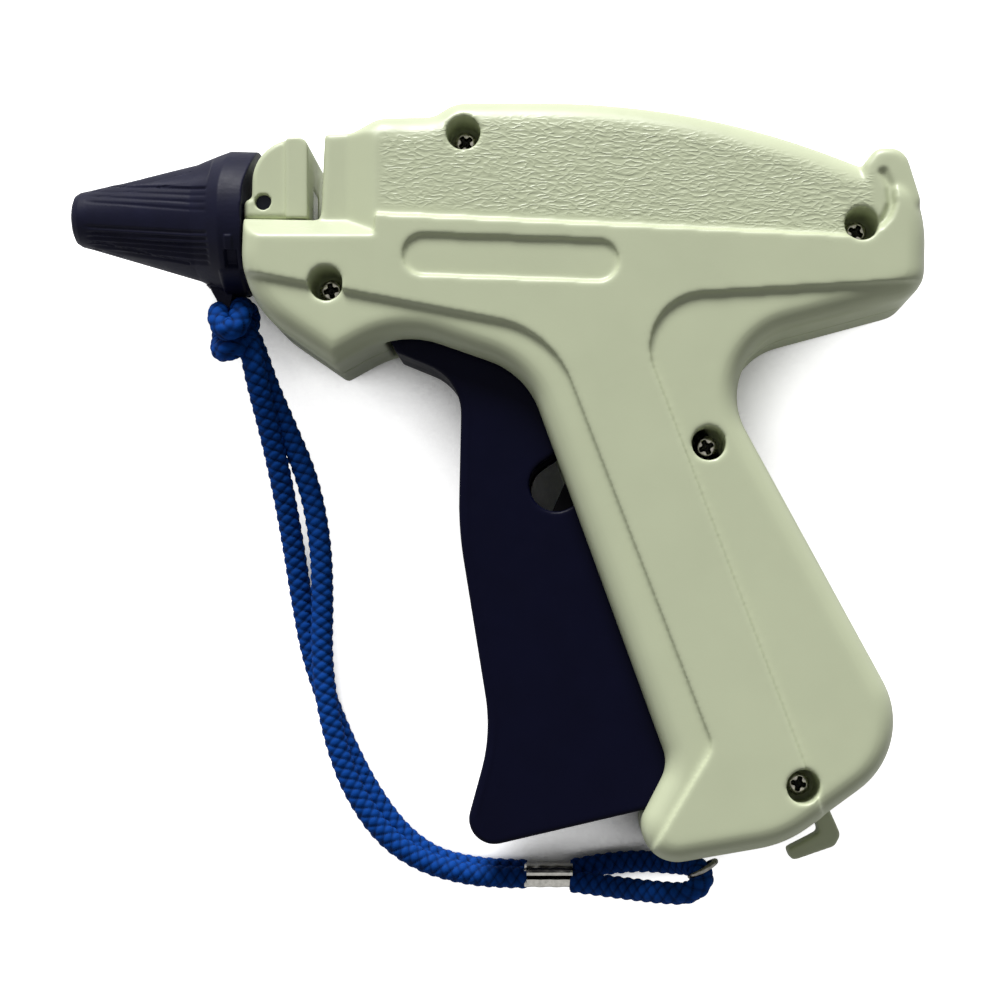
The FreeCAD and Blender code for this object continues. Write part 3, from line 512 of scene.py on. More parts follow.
# Moulded ABS: pale greenish ivory, satin, with soft highlights along its rounded edges.
CASE_ABS = GrainedAbs("abs_moulded_ivory", "BCC3A4", 0.4, mottle=0.025, mottle_mm=14.0)
# Moulded polypropylene: navy, matte, slightly dusty on its ribs.
CAP_PP = Finish("polypropylene_moulded_navy", "101126", 0.5, gloss=0.13, mottle=0.15,
                mottle_mm=4.0, bump_mm=0.03, bump_size_mm=0.6)
# Moulded acetal: deep navy with a satin sheen.
TRIGGER_ACETAL = Finish("acetal_moulded_navy", "07081C", 0.38, gloss=0.06, mottle=0.08,
                        mottle_mm=8.0, bump_mm=0.01, bump_size_mm=0.5)
# Glass-filled nylon: near black, faintly fibrous.
LEVER_NYLON = Finish("nylon_glass_filled_black", "101014", 0.55, gloss=0.1, bump_mm=0.02)
# Unfilled acetal: milky white and slippery.
SLIDE_ACETAL = Finish("acetal_natural_white", "DAD8CE", 0.35, bump_mm=0.01)
# Moulded polypropylene of the needle's foot: bright red, satin.
FOOT_PP = Finish("polypropylene_moulded_red", "A81E22", 0.4, bump_mm=0.01)
# Dull nickel plating over steel, bright beside the recesses' painted shade; its strong, fine
# mottle is painted glints.
NICKEL = Finish("steel_nickel_painted_glints", "C4C0B4", 0.27, 1.0, mottle=0.3, mottle_mm=0.7)
# The screwdriver recesses, painted dark as shade.
RECESS_SHADE = Finish("steel_recess_painted_shade", "17160F", 0.5, gloss=0.3, mottle=0.3,
                      mottle_mm=0.6)
# Ground steel pins: even and bright.
PIN_STEEL = Finish("steel_ground", "ABABAB", 0.3, 1.0, mottle=0.05, mottle_mm=1.0)
# The lock pin, blackened in hot oxide.
BLACK_STEEL = Finish("steel_black_oxide", "2A2C32", 0.4, 1.0, mottle=0.1, mottle_mm=1.0)
# Bent wire of the eye, worn bright.
EYE_STEEL = Finish("steel_wire_worn", "8E8C86", 0.22, 1.0, mottle=0.3, mottle_mm=0.8)
# The cutter's blade, stained and worn.
WORN_STEEL = Finish("steel_stained_worn", "55564F", 0.3, 1.0, mottle=0.35, mottle_mm=0.8)
# Drawn spring wire, darker than the pins.
SPRING_STEEL = Finish("steel_spring_drawn", "8C8C90", 0.35, 1.0, mottle=0.05, mottle_mm=1.0)
# Polished hardened steel of the needle.
NEEDLE_STEEL = Finish("steel_hardened_polished", "C9C9CC", 0.2, 1.0, mottle=0.03, mottle_mm=1.0)
# Tinned brass sleeve, bright, with crimp marks.
CRIMP_TIN = Finish("brass_tinned_crimped", "D2D0C8", 0.22, 1.0, mottle=0.15, mottle_mm=0.8,
                   bump_mm=0.05, bump_size_mm=0.8)
# The inside of the crimp's seam, painted black as shade.
SEAM_SHADE = Finish("brass_seam_painted_shade", "0B0B0D", 0.7, gloss=0.1, mottle=0.2, mottle_mm=1.0)
# Round-braided polyester cord: matte, saturated blue.
CORD_POLYESTER = BraidedYarn("polyester_braided_blue", "084090", 0.75, gloss=0.08)

# What the nodes that stay in view are made of.
NODE_FINISHES: dict[str, Finish] = {
    "trigger_pin": PIN_STEEL, "drive_lever": LEVER_NYLON,
    "lever_pin": PIN_STEEL, "drive_pin": PIN_STEEL, "carriage": SLIDE_ACETAL,
    "slider_pin": PIN_STEEL, "ejector_rod": PIN_STEEL,
    "front_guide": LEVER_NYLON, "lock_pin": BLACK_STEEL, "needle": NEEDLE_STEEL,
    "needle_base": FOOT_PP, "cutter_blade": WORN_STEEL, "feed_wheel": SLIDE_ACETAL,
    "feed_wheel_axle": PIN_STEEL, "detent_spring": SPRING_STEEL, "detent_seat": LEVER_NYLON,
}


class Wardrobe:
    """Makes each finish's material once."""

    def __init__(self) -> None:
        """Starts with no materials."""
        self.made: dict[str, bpy.types.Material] = {}

    def get(self, finish: Finish) -> bpy.types.Material:
        """The material of a finish.

        Args:
            finish: the finish to wear.

        Returns:
            Its material, made the first time.
        """
        if finish.name not in self.made:
            self.made[finish.name] = finish.material()
        return self.made[finish.name]

    def dress(self, thing: bpy.types.Object, finish: Finish) -> None:
        """Gives an object one material in place of those it has, and reports it.

        Args:
            thing: the object to dress.
            finish: what it is made of.
        """
        thing.data.materials.clear()
        thing.data.materials.append(self.get(finish))
        LOG.info("%s: %s", thing.name, finish.name)

    def dress_nodes(self) -> None:
        """Gives each node that stays in view its material."""
        for name, finish in NODE_FINISHES.items():
            self.dress(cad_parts[name], finish)


# ---------------------------------------------------------------- mouldings
@dataclass
class Moulding:
    """A moulded piece: its solid's surface with the soft edges that a mould gives."""

    node: str
    body: Body
    slot: str
    finish: Finish
    voxel_mm: float = 0.4
    smoothing: int = 5
    softness: float = 0.5

    def build(self, wardrobe: Wardrobe) -> bpy.types.Object:
        """Builds, dresses and places the piece.

        Args:
            wardrobe: where materials come from.

        Returns:
            The new object.
        """
        thing = add_object(self.node + "_moulded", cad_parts[self.node].data.copy())
        remesh = thing.modifiers.new("skin", "REMESH")
        remesh.mode = "VOXEL"
        remesh.voxel_size = mm(self.voxel_mm)
        smooth = thing.modifiers.new("soft_edges", "SMOOTH")
        smooth.factor = self.softness
        smooth.iterations = self.smoothing
        self.apply_modifiers(thing)
        self.shape(thing.data)
        wardrobe.dress(thing, self.finish)
        thing.data.polygons.foreach_set("use_smooth", [True] * len(thing.data.polygons))
        self.mark(thing.data)
        settle(thing, self.body, self.node)
        return thing

    @staticmethod
    def apply_modifiers(thing: bpy.types.Object) -> None:
        """Replaces the mesh by what its modifiers make of it.

        Args:
            thing: the object to change.
        """
        graph = bpy.context.evaluated_depsgraph_get()
        shaped = bpy.data.meshes.new_from_object(thing.evaluated_get(graph))
        thing.modifiers.clear()
        thing.data = shaped

    def shape(self, mesh: bpy.types.Mesh) -> None:
        """Adds relief that the solid leaves out; nothing for a plain moulding."""

    def mark(self, mesh: bpy.types.Mesh) -> None:
        """Adds what the finish reads from the mesh; nothing for a plain moulding."""


@dataclass
class CaseHalf(Moulding):
    """A case half, with its field of leather grain above the smooth raised panel."""

    panel_edge: tuple[Pair, Pair] = ((-20.5, 46.4), (62.0, 41.3))
    grain_span: Pair = (-20.6, 63.8)
    outline_step: float = 0.8
    # The long rounded rim: how far under the top edge it reaches, how much it drops, how it
    # begins and ends along the case and above the panel, and the share of the face's depth
    # from which it counts.
    rim_mm: Pair = (0.8, 5.4)
    rim_drop: float = 0.3
    rim_front_mm: float = 6.0
    rim_rear_mm: float = 8.0
    rim_foot_mm: float = 4.0
    rim_levels: Pair = (0.75, 0.95)
    # The shadow line in front of the horn at the rear.
    horn_line: tuple[Pair, ...] = (
        (65.2, 52.2), (66.3, 50.0), (66.6, 47.0), (65.7, 44.7), (64.5, 43.3))
    horn_half_width: float = 1.25
    horn_depth: float = 0.75
    horn_levels: Pair = (0.7, 0.8)
    # The grain fades towards its edges, on what stands proud of the face or lies below it,
    # towards the rim and towards the front.
    fade_mm: float = 1.2
    proud_mm: float = 0.45
    proud_fade_mm: float = 0.3
    low_levels: Pair = (-1.2, -0.6)
    rim_fade: Pair = (2.2, 4.6)
    front_strength: float = 0.8
    front_fade: Pair = (-14.0, 10.0)

    def below_top(self, points: np.ndarray) -> np.ndarray:
        """How far each point lies under the case's top edge, in y."""
        x, y = points[:, 0], points[:, 1]
        return edge_beside(x, y, self.outline_step, farthest=True) - y

    def above_panel(self, points: np.ndarray) -> np.ndarray:
        """How far each point lies above the raised panel's edge, in y."""
        (x0, y0), (x1, y1) = self.panel_edge
        return points[:, 1] - (y0 + (points[:, 0] - x0) * (y1 - y0) / (x1 - x0))

    def shape(self, mesh: bpy.types.Mesh) -> None:
        """Rounds the long top rim further down, and sinks the line in front of the horn.

        Args:
            mesh: the case half's mesh.
        """
        points = drawn_points(mesh)
        x, depth = points[:, 0], points[:, 2] - SPLIT
        level = np.abs(depth) / FACE_DEPTH
        first, last = self.grain_span
        share = smooth_step(first, first + self.rim_front_mm, x)
        share *= 1 - smooth_step(last - self.rim_rear_mm, last, x)
        share *= smooth_step(0.0, self.rim_foot_mm, self.above_panel(points))
        share *= 1 - smooth_step(*self.rim_mm, self.below_top(points))
        share *= smooth_step(*self.rim_levels, level)
        trough = 1 - smooth_step(0.0, self.horn_half_width,
                                 distance_to_line(points, self.horn_line))
        sunk = self.rim_drop * share
        sunk += self.horn_depth * trough * smooth_step(*self.horn_levels, level)
        points[:, 2] -= np.sign(depth) * sunk
        set_drawn_points(mesh, points)

    def mark(self, mesh: bpy.types.Mesh) -> None:
        """Writes how strong the leather grain is at each point.

        Args:
            mesh: the case half's mesh.
        """
        points = drawn_points(mesh)
        x = points[:, 0]
        over_face = np.abs(points[:, 2] - SPLIT) - FACE_DEPTH
        first, last = self.grain_span
        strength = np.clip(self.above_panel(points) / self.fade_mm, 0, 1)
        strength *= np.clip((x - first) / self.fade_mm, 0, 1)
        strength *= np.clip((last - x) / self.fade_mm, 0, 1)
        strength *= np.clip((self.proud_mm - over_face) / self.proud_fade_mm, 0, 1)
        strength *= smooth_step(*self.low_levels, over_face)
        strength *= smooth_step(*self.rim_fade, self.below_top(points))
        strength *= (self.front_strength
                     + (1 - self.front_strength) * smooth_step(*self.front_fade, x))
        write_layer(mesh, "grain", strength)


@dataclass
class RibbedCap(Moulding):
    """The needle cap, with its fields of grip ribs, its flat flanks, its catch and its lug."""

    axis_y: float = 46.8
    # The bore and what lies near it stay as they are.
    bore_radius: Pair = (3.6, 4.2)
    # The cone's outline: x and radius; and how near it a point is set on it.
    outline: tuple[Pair, ...] = (
        (-75.8, 3.1), (-75.3, 4.2), (-74.4, 4.75), (-72.8, 5.1), (-53.3, 10.1), (-48.1, 12.5))
    outline_reach: float = 0.7
    # Each groove's height above the axis at the tip's end and at the collar's, and its depth.
    # The first is the foot of the smooth flank.
    grooves: tuple[Point, ...] = (
        (5.6, 3.9, 0.45), (4.2, 2.6, 0.12), (3.1, 1.3, 0.12), (2.0, 0.0, 0.12),
        (-2.2, -3.75, 0.3), (-3.1, -4.8, 0.4), (-3.9, -5.7, 0.45), (-4.6, -6.6, 0.45),
        (-5.1, -7.5, 0.45), (-5.6, -8.4, 0.35))
    groove_half_width: float = 0.42
    groove_span: Pair = (-70.0, -50.0)
    groove_start: float = -73.5
    groove_run_in: float = 2.5
    groove_run_out: float = 0.7
    # No groove runs onto the cone's top or bottom line, where it would lie aslant.
    groove_top: Pair = (0.86, 0.96)
    # The flank needs some room between its foot and the cone's top line.
    flank_depth: float = 0.7
    flank_room: Pair = (0.6, 2.4)
    flank_narrowest: float = 1.0
    # What stands out from the collar's face, or is sunk into it: x, y and height.
    catch: tuple[tuple[Pair, Pair, float], ...] = (
        ((-47.1, -45.8), (40.4, 42.6), 0.3), ((-47.2, -45.2), (37.5, 40.2), -1.2),
        ((-48.6, -44.8), (33.0, 37.3), 0.3))
    catch_radius: float = 9.0
    # The cap sits a little low and points a little up, and its collar leans back at the top.
    tilt: float = 0.028
    drop: float = 0.45
    shortening: float = 0.016
    collar_front: float = -48.1
    collar_lean: float = 1.5
    lean_heights: Pair = (3.0, 12.0)
    lean_reach: Pair = (-5.0, 4.0)
    # The lug's ends, middle and front, how much it narrows, and how its front flares.
    lug_top: float = 36.0
    lug_tip: float = 29.9
    lug_middle: float = -48.7
    lug_front: float = -50.8
    lug_half_depth: float = 2.6
    lug_taper: float = 0.5
    lug_flare: float = 0.6
    flare_starts: Pair = (0.0, 0.1)
    flare_ends: Pair = (0.0, 0.7)

    def cut_depth(self, x: np.ndarray, height: np.ndarray, outline: np.ndarray) -> np.ndarray:
        """How deep the grooves and the flank are cut.

        Args:
            x: each point's place along the cap.
            height: its height above the axis.
            outline: the cone's radius there.

        Returns:
            One depth per point.
        """
        first, last = self.groove_span
        run = (x - first) / (last - first)
        cut = np.zeros(len(x))
        for at_tip, at_collar, depth in self.grooves:
            away = np.abs(height - at_tip - (at_collar - at_tip) * run)
            cut = np.maximum(cut, depth * (1 - smooth_step(0.0, self.groove_half_width, away)))
        cut *= 1 - smooth_step(*self.groove_top, np.abs(height) / outline)
        at_tip, at_collar, _ = self.grooves[0]
        foot = at_tip + (at_collar - at_tip) * run
        room = outline - foot
        share = np.clip((height - foot) / np.maximum(room, self.flank_narrowest), 0, 1)
        flank = (self.flank_depth * np.sin(math.pi * share) ** 2
                 * smooth_step(*self.flank_room, room))
        along = smooth_step(self.groove_start, self.groove_start + self.groove_run_in, x)
        along *= 1 - smooth_step(last - self.groove_run_out, last, x)
        return (cut + flank) * along

    def lean(self, points: np.ndarray, height: np.ndarray) -> None:
        """Tilts the cone and leans the collar, in place.

        Args:
            points: drawn points, one row each.
            height: each point's height above the axis before the tilt.
        """
        reach = np.maximum(self.collar_front - points[:, 0], 0.0)
        points[:, 0] += self.shortening * reach
        points[:, 1] += self.tilt * reach - self.drop
        start, end = (self.collar_front + away for away in self.lean_reach)
        points[:, 0] += (self.collar_lean * smooth_step(*self.lean_heights, height)
                         * smooth_step(start, end, points[:, 0]))

    def taper_lug(self, points: np.ndarray) -> None:
        """Narrows the lug towards its tip and flares its front, in place.

        Args:
            points: drawn points, one row each.
        """
        share = (self.lug_top - points[:, 1]) / (self.lug_top - self.lug_tip)
        low = ((points[:, 1] < self.lug_top) & (points[:, 0] > self.lug_front)
               & (np.abs(points[:, 2] - SPLIT) < self.lug_half_depth))
        front = points[:, 0] < self.lug_middle
        width = 1 - self.lug_taper * smooth_step(0.0, 1.0, share)
        flare = smooth_step(*self.flare_starts, share) * (1 - smooth_step(*self.flare_ends, share))
        width += np.where(front, self.lug_flare * flare, 0.0)
        points[low, 0] = self.lug_middle + (points[low, 0] - self.lug_middle) * width[low]

    def shape(self, mesh: bpy.types.Mesh) -> None:
        """Cuts the grooves, flank and catch, leans the collar and tapers the lug.

        Args:
            mesh: the cap's mesh.
        """
        points = drawn_points(mesh)
        height, depth = points[:, 1] - self.axis_y, points[:, 2] - SPLIT
        radius = np.hypot(height, depth)
        outline = np.interp(points[:, 0], *zip(*self.outline))
        outside = smooth_step(*self.bore_radius, radius)
        sunk = self.cut_depth(points[:, 0], height, outline) * outside
        # The solid's own plain ribs give way to the cone's clean outline.
        on_cone = ((np.abs(radius - outline) < self.outline_reach)
                   & (points[:, 0] < self.collar_front))
        sunk += np.where(on_cone, radius - outline, 0.0)
        on_collar = outside * (radius > self.catch_radius)
        for across, upward, proud in self.catch:
            sunk -= proud * patch(points, across, upward) * on_collar
        keep = (radius - sunk) / np.maximum(radius, 1e-6)
        points[:, 1] = self.axis_y + height * keep
        points[:, 2] = SPLIT + depth * keep
        self.lean(points, height)
        self.taper_lug(points)
        set_drawn_points(mesh, points)


@dataclass
class Trigger(Moulding):
    """The trigger, with the fine bead that runs inside its front edge on both sides."""

    bead_in: float = 1.25
    bead_half_width: float = 0.45
    bead_height: float = 0.13
    outline_step: float = 0.6
    # The shares of the trigger's half width between which its sides begin.
    side_levels: Pair = (0.6, 0.9)

    def shape(self, mesh: bpy.types.Mesh) -> None:
        """Raises the bead at an even distance from the front edge.

        Args:
            mesh: the trigger's mesh.
        """
        points = drawn_points(mesh)
        front = edge_beside(points[:, 1], points[:, 0], self.outline_step, farthest=False)
        inward = points[:, 0] - front
        bead = np.clip(1 - ((inward - self.bead_in) / self.bead_half_width) ** 2, 0, 1)
        depth = points[:, 2] - SPLIT
        face = smooth_step(*self.side_levels, np.abs(depth) / np.abs(depth).max())
        points[:, 2] += np.sign(depth) * bead * self.bead_height * face
        set_drawn_points(mesh, points)


# ---------------------------------------------------------------- metal pieces
@dataclass
class WoundSpring:
    """The return spring, which the slide squeezes against the front guide."""

    node: str = "return_spring"
    fixed_end: float = -18.3
    squeezed: float = 0.138

    def build(self, wardrobe: Wardrobe) -> bpy.types.Object:
        """Copies the coil, dresses it and lets it ride on the housing.

        Args:
            wardrobe: where materials come from.

        Returns:
            The new object.
        """
        thing = add_object("return_spring_wound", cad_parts[self.node].data.copy())
        wardrobe.dress(thing, SPRING_STEEL)
        settle(thing, Body.HOUSING, self.node)
        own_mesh(thing)
        return thing


@dataclass
class CaseScrews:
    """The five case screws: pan heads with a cross recess, on plain shanks."""

    node: str = "case_screws"
    places: tuple[Pair, ...] = (
        (-29.4, 33.5), (-6.1, 59.1), (61.5, 43.6), (35.6, 6.4), (51.6, -51.9))
    # How far each cross is turned, in degrees.
    turned: tuple[float, ...] = (12.0, 38.0, 61.0, 24.0, 77.0)
    head_radius: float = 1.95
    head_top: float = 21.5
    shoulder: float = 19.7
    rounding: float = 0.7
    shank_radius: float = 1.4
    tip: float = 4.6
    tip_length: float = 1.5
    tip_radius: float = 0.5
    # The recess: its arms, which get shallower outwards, around a round pocket.
    recess_depth: float = 1.1
    arm_half_width: Pair = (0.26, 0.42)
    arm_end: Pair = (1.1, 1.35)
    arm_reach: float = 1.25
    arm_rise: float = 0.4
    pocket_radius: Pair = (0.52, 0.8)
    pocket_share: float = 0.9
    # Recess faces deeper than this share of the full depth, and the pocket's floor, get the
    # painted shade.
    painted_dark_from: float = 0.15
    rings: int = 30
    sides: int = 72

    def recess(self, radius: float, angle: float) -> float:
        """How deep the cross recess is at a place on the head.

        Args:
            radius: the place's distance from the middle.
            angle: its direction, from one of the arms.

        Returns:
            A share of the full depth, 0 to 1.
        """
        from_arm = (angle + math.pi / 4) % (math.pi / 2) - math.pi / 4
        off = abs(math.sin(from_arm)) * radius
        arm = 1 - smooth_step(*self.arm_half_width, off)
        arm *= 1 - smooth_step(*self.arm_end, radius)
        arm *= 1 - self.arm_rise * radius / self.arm_reach
        pocket = 1 - smooth_step(*self.pocket_radius, radius)
        return float(max(arm, self.pocket_share * pocket))

    def outline(self) -> list[Pair]:
        """Radius and height of each ring, from the head's middle to the tip.

        Returns:
            The rings in order.
        """
        flat = self.head_radius - self.rounding
        rings = [(flat * i / self.rings, self.head_top) for i in range(1, self.rings)]
        for turn in map(math.radians, range(0, 91, 10)):
            rings.append((flat + self.rounding * math.sin(turn),
                          self.head_top - self.rounding * (1 - math.cos(turn))))
        return rings + [(self.head_radius, self.shoulder), (self.shank_radius, self.shoulder),
                        (self.shank_radius, self.tip + self.tip_length),
                        (self.tip_radius, self.tip)]

    def build(self, wardrobe: Wardrobe) -> bpy.types.Object:
        """Turns all five screws and puts them in their holes.

        Args:
            wardrobe: where materials come from.

        Returns:
            The new object.
        """
        points, faces, painted_dark = [], [], []
        for (x, y), turned in zip(self.places, self.turned):
            points.append(place(x, y, self.head_top - self.recess_depth))
            for ring, (radius, level) in enumerate(self.outline()):
                here = len(points)
                for j in range(self.sides):
                    angle = 2 * math.pi * j / self.sides
                    depth = self.recess(radius, angle) if level > self.shoulder else 0.0
                    turn = angle + math.radians(turned)
                    points.append(place(x + radius * math.cos(turn), y + radius * math.sin(turn),
                                        level - self.recess_depth * depth))
                    k = (j + 1) % self.sides
                    there = here - (self.sides if ring else 1)
                    faces.append((there + j, here + j, here + k, there + k) if ring
                                 else (there, here + j, here + k))
                    painted_dark.append(ring == 0 or depth > self.painted_dark_from)
            faces.append(tuple(reversed(range(here, here + self.sides))))
            painted_dark.append(False)
        thing = mesh_object("screw_heads", points, faces, wardrobe.get(NICKEL))
        # The recess's faces get the painted shade as their second material.
        thing.data.materials.append(wardrobe.get(RECESS_SHADE))
        thing.data.polygons.foreach_set("material_index", [int(flag) for flag in painted_dark])
        settle(thing, Body.HOUSING, self.node)
        return thing


@dataclass
class CrimpSleeve:
    """The crimp: a strip bent around the cord, its two lips almost meeting on top."""

    node: str = "cord_ferrule"
    ends: Pair = (3.7, 12.4)
    sides: Pair = (-71.6, -67.4)
    levels: Pair = (0.2, 7.4)
    far_corner: float = 2.0
    near_corner: float = 0.7
    corner_turns: tuple[int, ...] = (0, 15, 30, 45, 60, 75, 90)
    seam: Pair = (-69.9, -68.8)
    seam_depth: float = 1.3
    lip: float = 0.25
    # The pliers' dents, and how the ends are drawn in, against the section's half size.
    dent: float = 0.12
    dents: int = 3
    end_draw: float = 0.15
    end_share: float = 0.1
    half_size: float = 3.0
    steps: int = 49

    def outline(self) -> list[Pair]:
        """The sleeve's section in y and z, from one side of the seam round to the other.

        Returns:
            The section's points.
        """
        (left, right), (low, high) = self.sides, self.levels
        near, far = self.seam
        points = [(far, high - self.seam_depth), (far, high - 2 * self.lip)]
        corners = ((right, high, 90), (right, low, 0), (left, low, -90), (left, high, -180))
        for y, z, start in corners:
            corner = self.far_corner if y == right else self.near_corner
            middle_y = y - math.copysign(corner, y - (left + right) / 2)
            middle_z = z - math.copysign(corner, z - (low + high) / 2)
            for turn in self.corner_turns:
                angle = math.radians(start - turn)
                points.append((middle_y + corner * math.cos(angle),
                               middle_z + corner * math.sin(angle)))
        points += [(near - self.lip, high), (near, high - self.lip),
                   (near, high - self.seam_depth)]
        return points

    def scale(self, share: float) -> float:
        """How large the section is along the sleeve.

        Args:
            share: how far along the sleeve, 0 to 1.

        Returns:
            Its size, 1 where nothing presses on it.
        """
        dent = self.dent * math.sin(math.pi * self.dents * share) ** 2
        near_end = max(0.0, abs(2 * share - 1) - (1 - self.end_share)) / self.end_share
        return 1 - (dent + self.end_draw * near_end) / self.half_size

    def build(self, wardrobe: Wardrobe) -> bpy.types.Object:
        """Sweeps the section along the sleeve, a little narrower at each dent.

        Args:
            wardrobe: where materials come from.

        Returns:
            The new object.
        """
        section = np.array(self.outline())
        middle = np.array([sum(self.sides) / 2, sum(self.levels) / 2])
        start, end = self.ends
        points, faces = [], []
        for i in range(self.steps):
            share = i / (self.steps - 1)
            for y, z in middle + (section - middle) * self.scale(share):
                points.append(place(start + (end - start) * share, y, z))
        count = len(section)
        last = (self.steps - 1) * count
        for i in range(0, last, count):
            for j in range(count):
                k = (j + 1) % count
                faces.append((i + j, i + count + j, i + count + k, i + k))
        faces.append(tuple(range(count)))
        faces.append(tuple(reversed(range(last, last + count))))
        thing = mesh_object("crimp_sleeve", points, faces, wardrobe.get(CRIMP_TIN), smooth=False)
        # The seam's inside gets the painted shade as the second material.
        thing.data.materials.append(wardrobe.get(SEAM_SHADE))
        seam_sides = (0, count - 2, count - 1)
        for face in range(last):
            if face % count in seam_sides:
                thing.data.polygons[face].material_index = 1
        settle(thing, Body.HOUSING, self.node)
        return thing


@dataclass
class WireEye:
    """The wire eye under the grip's toe, standing upright, with the ring loop through it."""

    node: str = "lanyard_eye"
    centre: Point = (35.5, -67.5, 13.4)
    heading: float = 31.0
    radius: float = 2.6
    wire: float = 0.5
    turns: int = 40
    sides: int = 12

    def build(self, wardrobe: Wardrobe) -> bpy.types.Object:
        """Bends the wire into a ring, upright and turned by its heading.

        Args:
            wardrobe: where materials come from.

        Returns:
            The new object.
        """
        lean = math.radians(self.heading)
        x0, y0, z0 = self.centre
        points, faces = [], []
        for i in range(self.turns):
            turn = 2 * math.pi * i / self.turns
            for j in range(self.sides):
                side = 2 * math.pi * j / self.sides
                reach = self.radius + self.wire * math.cos(side)
                out, off = reach * math.cos(turn), self.wire * math.sin(side)
                points.append(place(x0 + out * math.cos(lean) - off * math.sin(lean),
                                    y0 + out * math.sin(lean) + off * math.cos(lean),
                                    z0 + reach * math.sin(turn)))
                k, m = (i + 1) % self.turns, (j + 1) % self.sides
                faces.append((i * self.sides + j, i * self.sides + m, k * self.sides + m,
                              k * self.sides + j))
        thing = mesh_object("eye_wire", points, faces, wardrobe.get(EYE_STEEL))
        settle(thing, Body.HOUSING, self.node)
        return thing


# ---------------------------------------------------------------- cord
def smooth_line(name: str, points: list[Vector]) -> np.ndarray:
    """A smooth line that starts and ends at the first and last of some points.

    Args:
        name: the line's name.
        points: what it bends towards, in metres.

    Returns:
        The line's own points, one row each.
    """
    curve = bpy.data.curves.new(name + "_route", "CURVE")
    curve.dimensions = "3D"
    curve.resolution_u = ROUTE_STEPS
    spline = curve.splines.new("NURBS")
    spline.points.add(len(points) - 1)
    for target, point in zip(spline.points, points):
        target.co = (*point, 1.0)
    spline.order_u = 3
    spline.use_endpoint_u = True
    holder = bpy.data.objects.new(name + "_route", curve)
    mesh = bpy.data.meshes.new_from_object(holder)
    line = np.array([v.co for v in mesh.vertices], float).reshape(-1, 3)
    bpy.data.objects.remove(holder)
    bpy.data.curves.remove(curve)
    bpy.data.meshes.remove(mesh)
    return line


def distances(line: np.ndarray) -> np.ndarray:
    """How far along a line each of its points lies."""
    return np.concatenate([[0.0], np.cumsum(np.linalg.norm(np.diff(line, axis=0), axis=1))])


def even_points(line: np.ndarray, step: float) -> np.ndarray:
    """The same line with points at even distances.

    Args:
        line: the line's points, one row each.
        step: about how far apart they shall be.

    Returns:
        The new points.
    """
    lengths = distances(line)
    targets = np.linspace(0.0, lengths[-1], int(round(lengths[-1] / step)) + 1)
    return np.stack([np.interp(targets, lengths, line[:, axis]) for axis in range(3)], axis=1)


def travelling_frames(line: np.ndarray) -> tuple[np.ndarray, np.ndarray]:
    """Two directions across a line at each of its points, without twist.

    Args:
        line: the line's points, one row each.

    Returns:
        Both directions, one row per point.
    """
    ahead = np.gradient(line, axis=0)
    ahead /= np.linalg.norm(ahead, axis=1, keepdims=True)
    side = np.zeros_like(line)
    steep = abs(ahead[0][2]) >= STEEP
    side[0] = np.cross(ahead[0], (1.0, 0.0, 0.0) if steep else (0.0, 0.0, 1.0))
    side[0] /= np.linalg.norm(side[0])
    for i in range(1, len(line)):
        moved = side[i - 1] - ahead[i] * np.dot(side[i - 1], ahead[i])
        side[i] = moved / np.linalg.norm(moved)
    return side, np.cross(ahead, side)


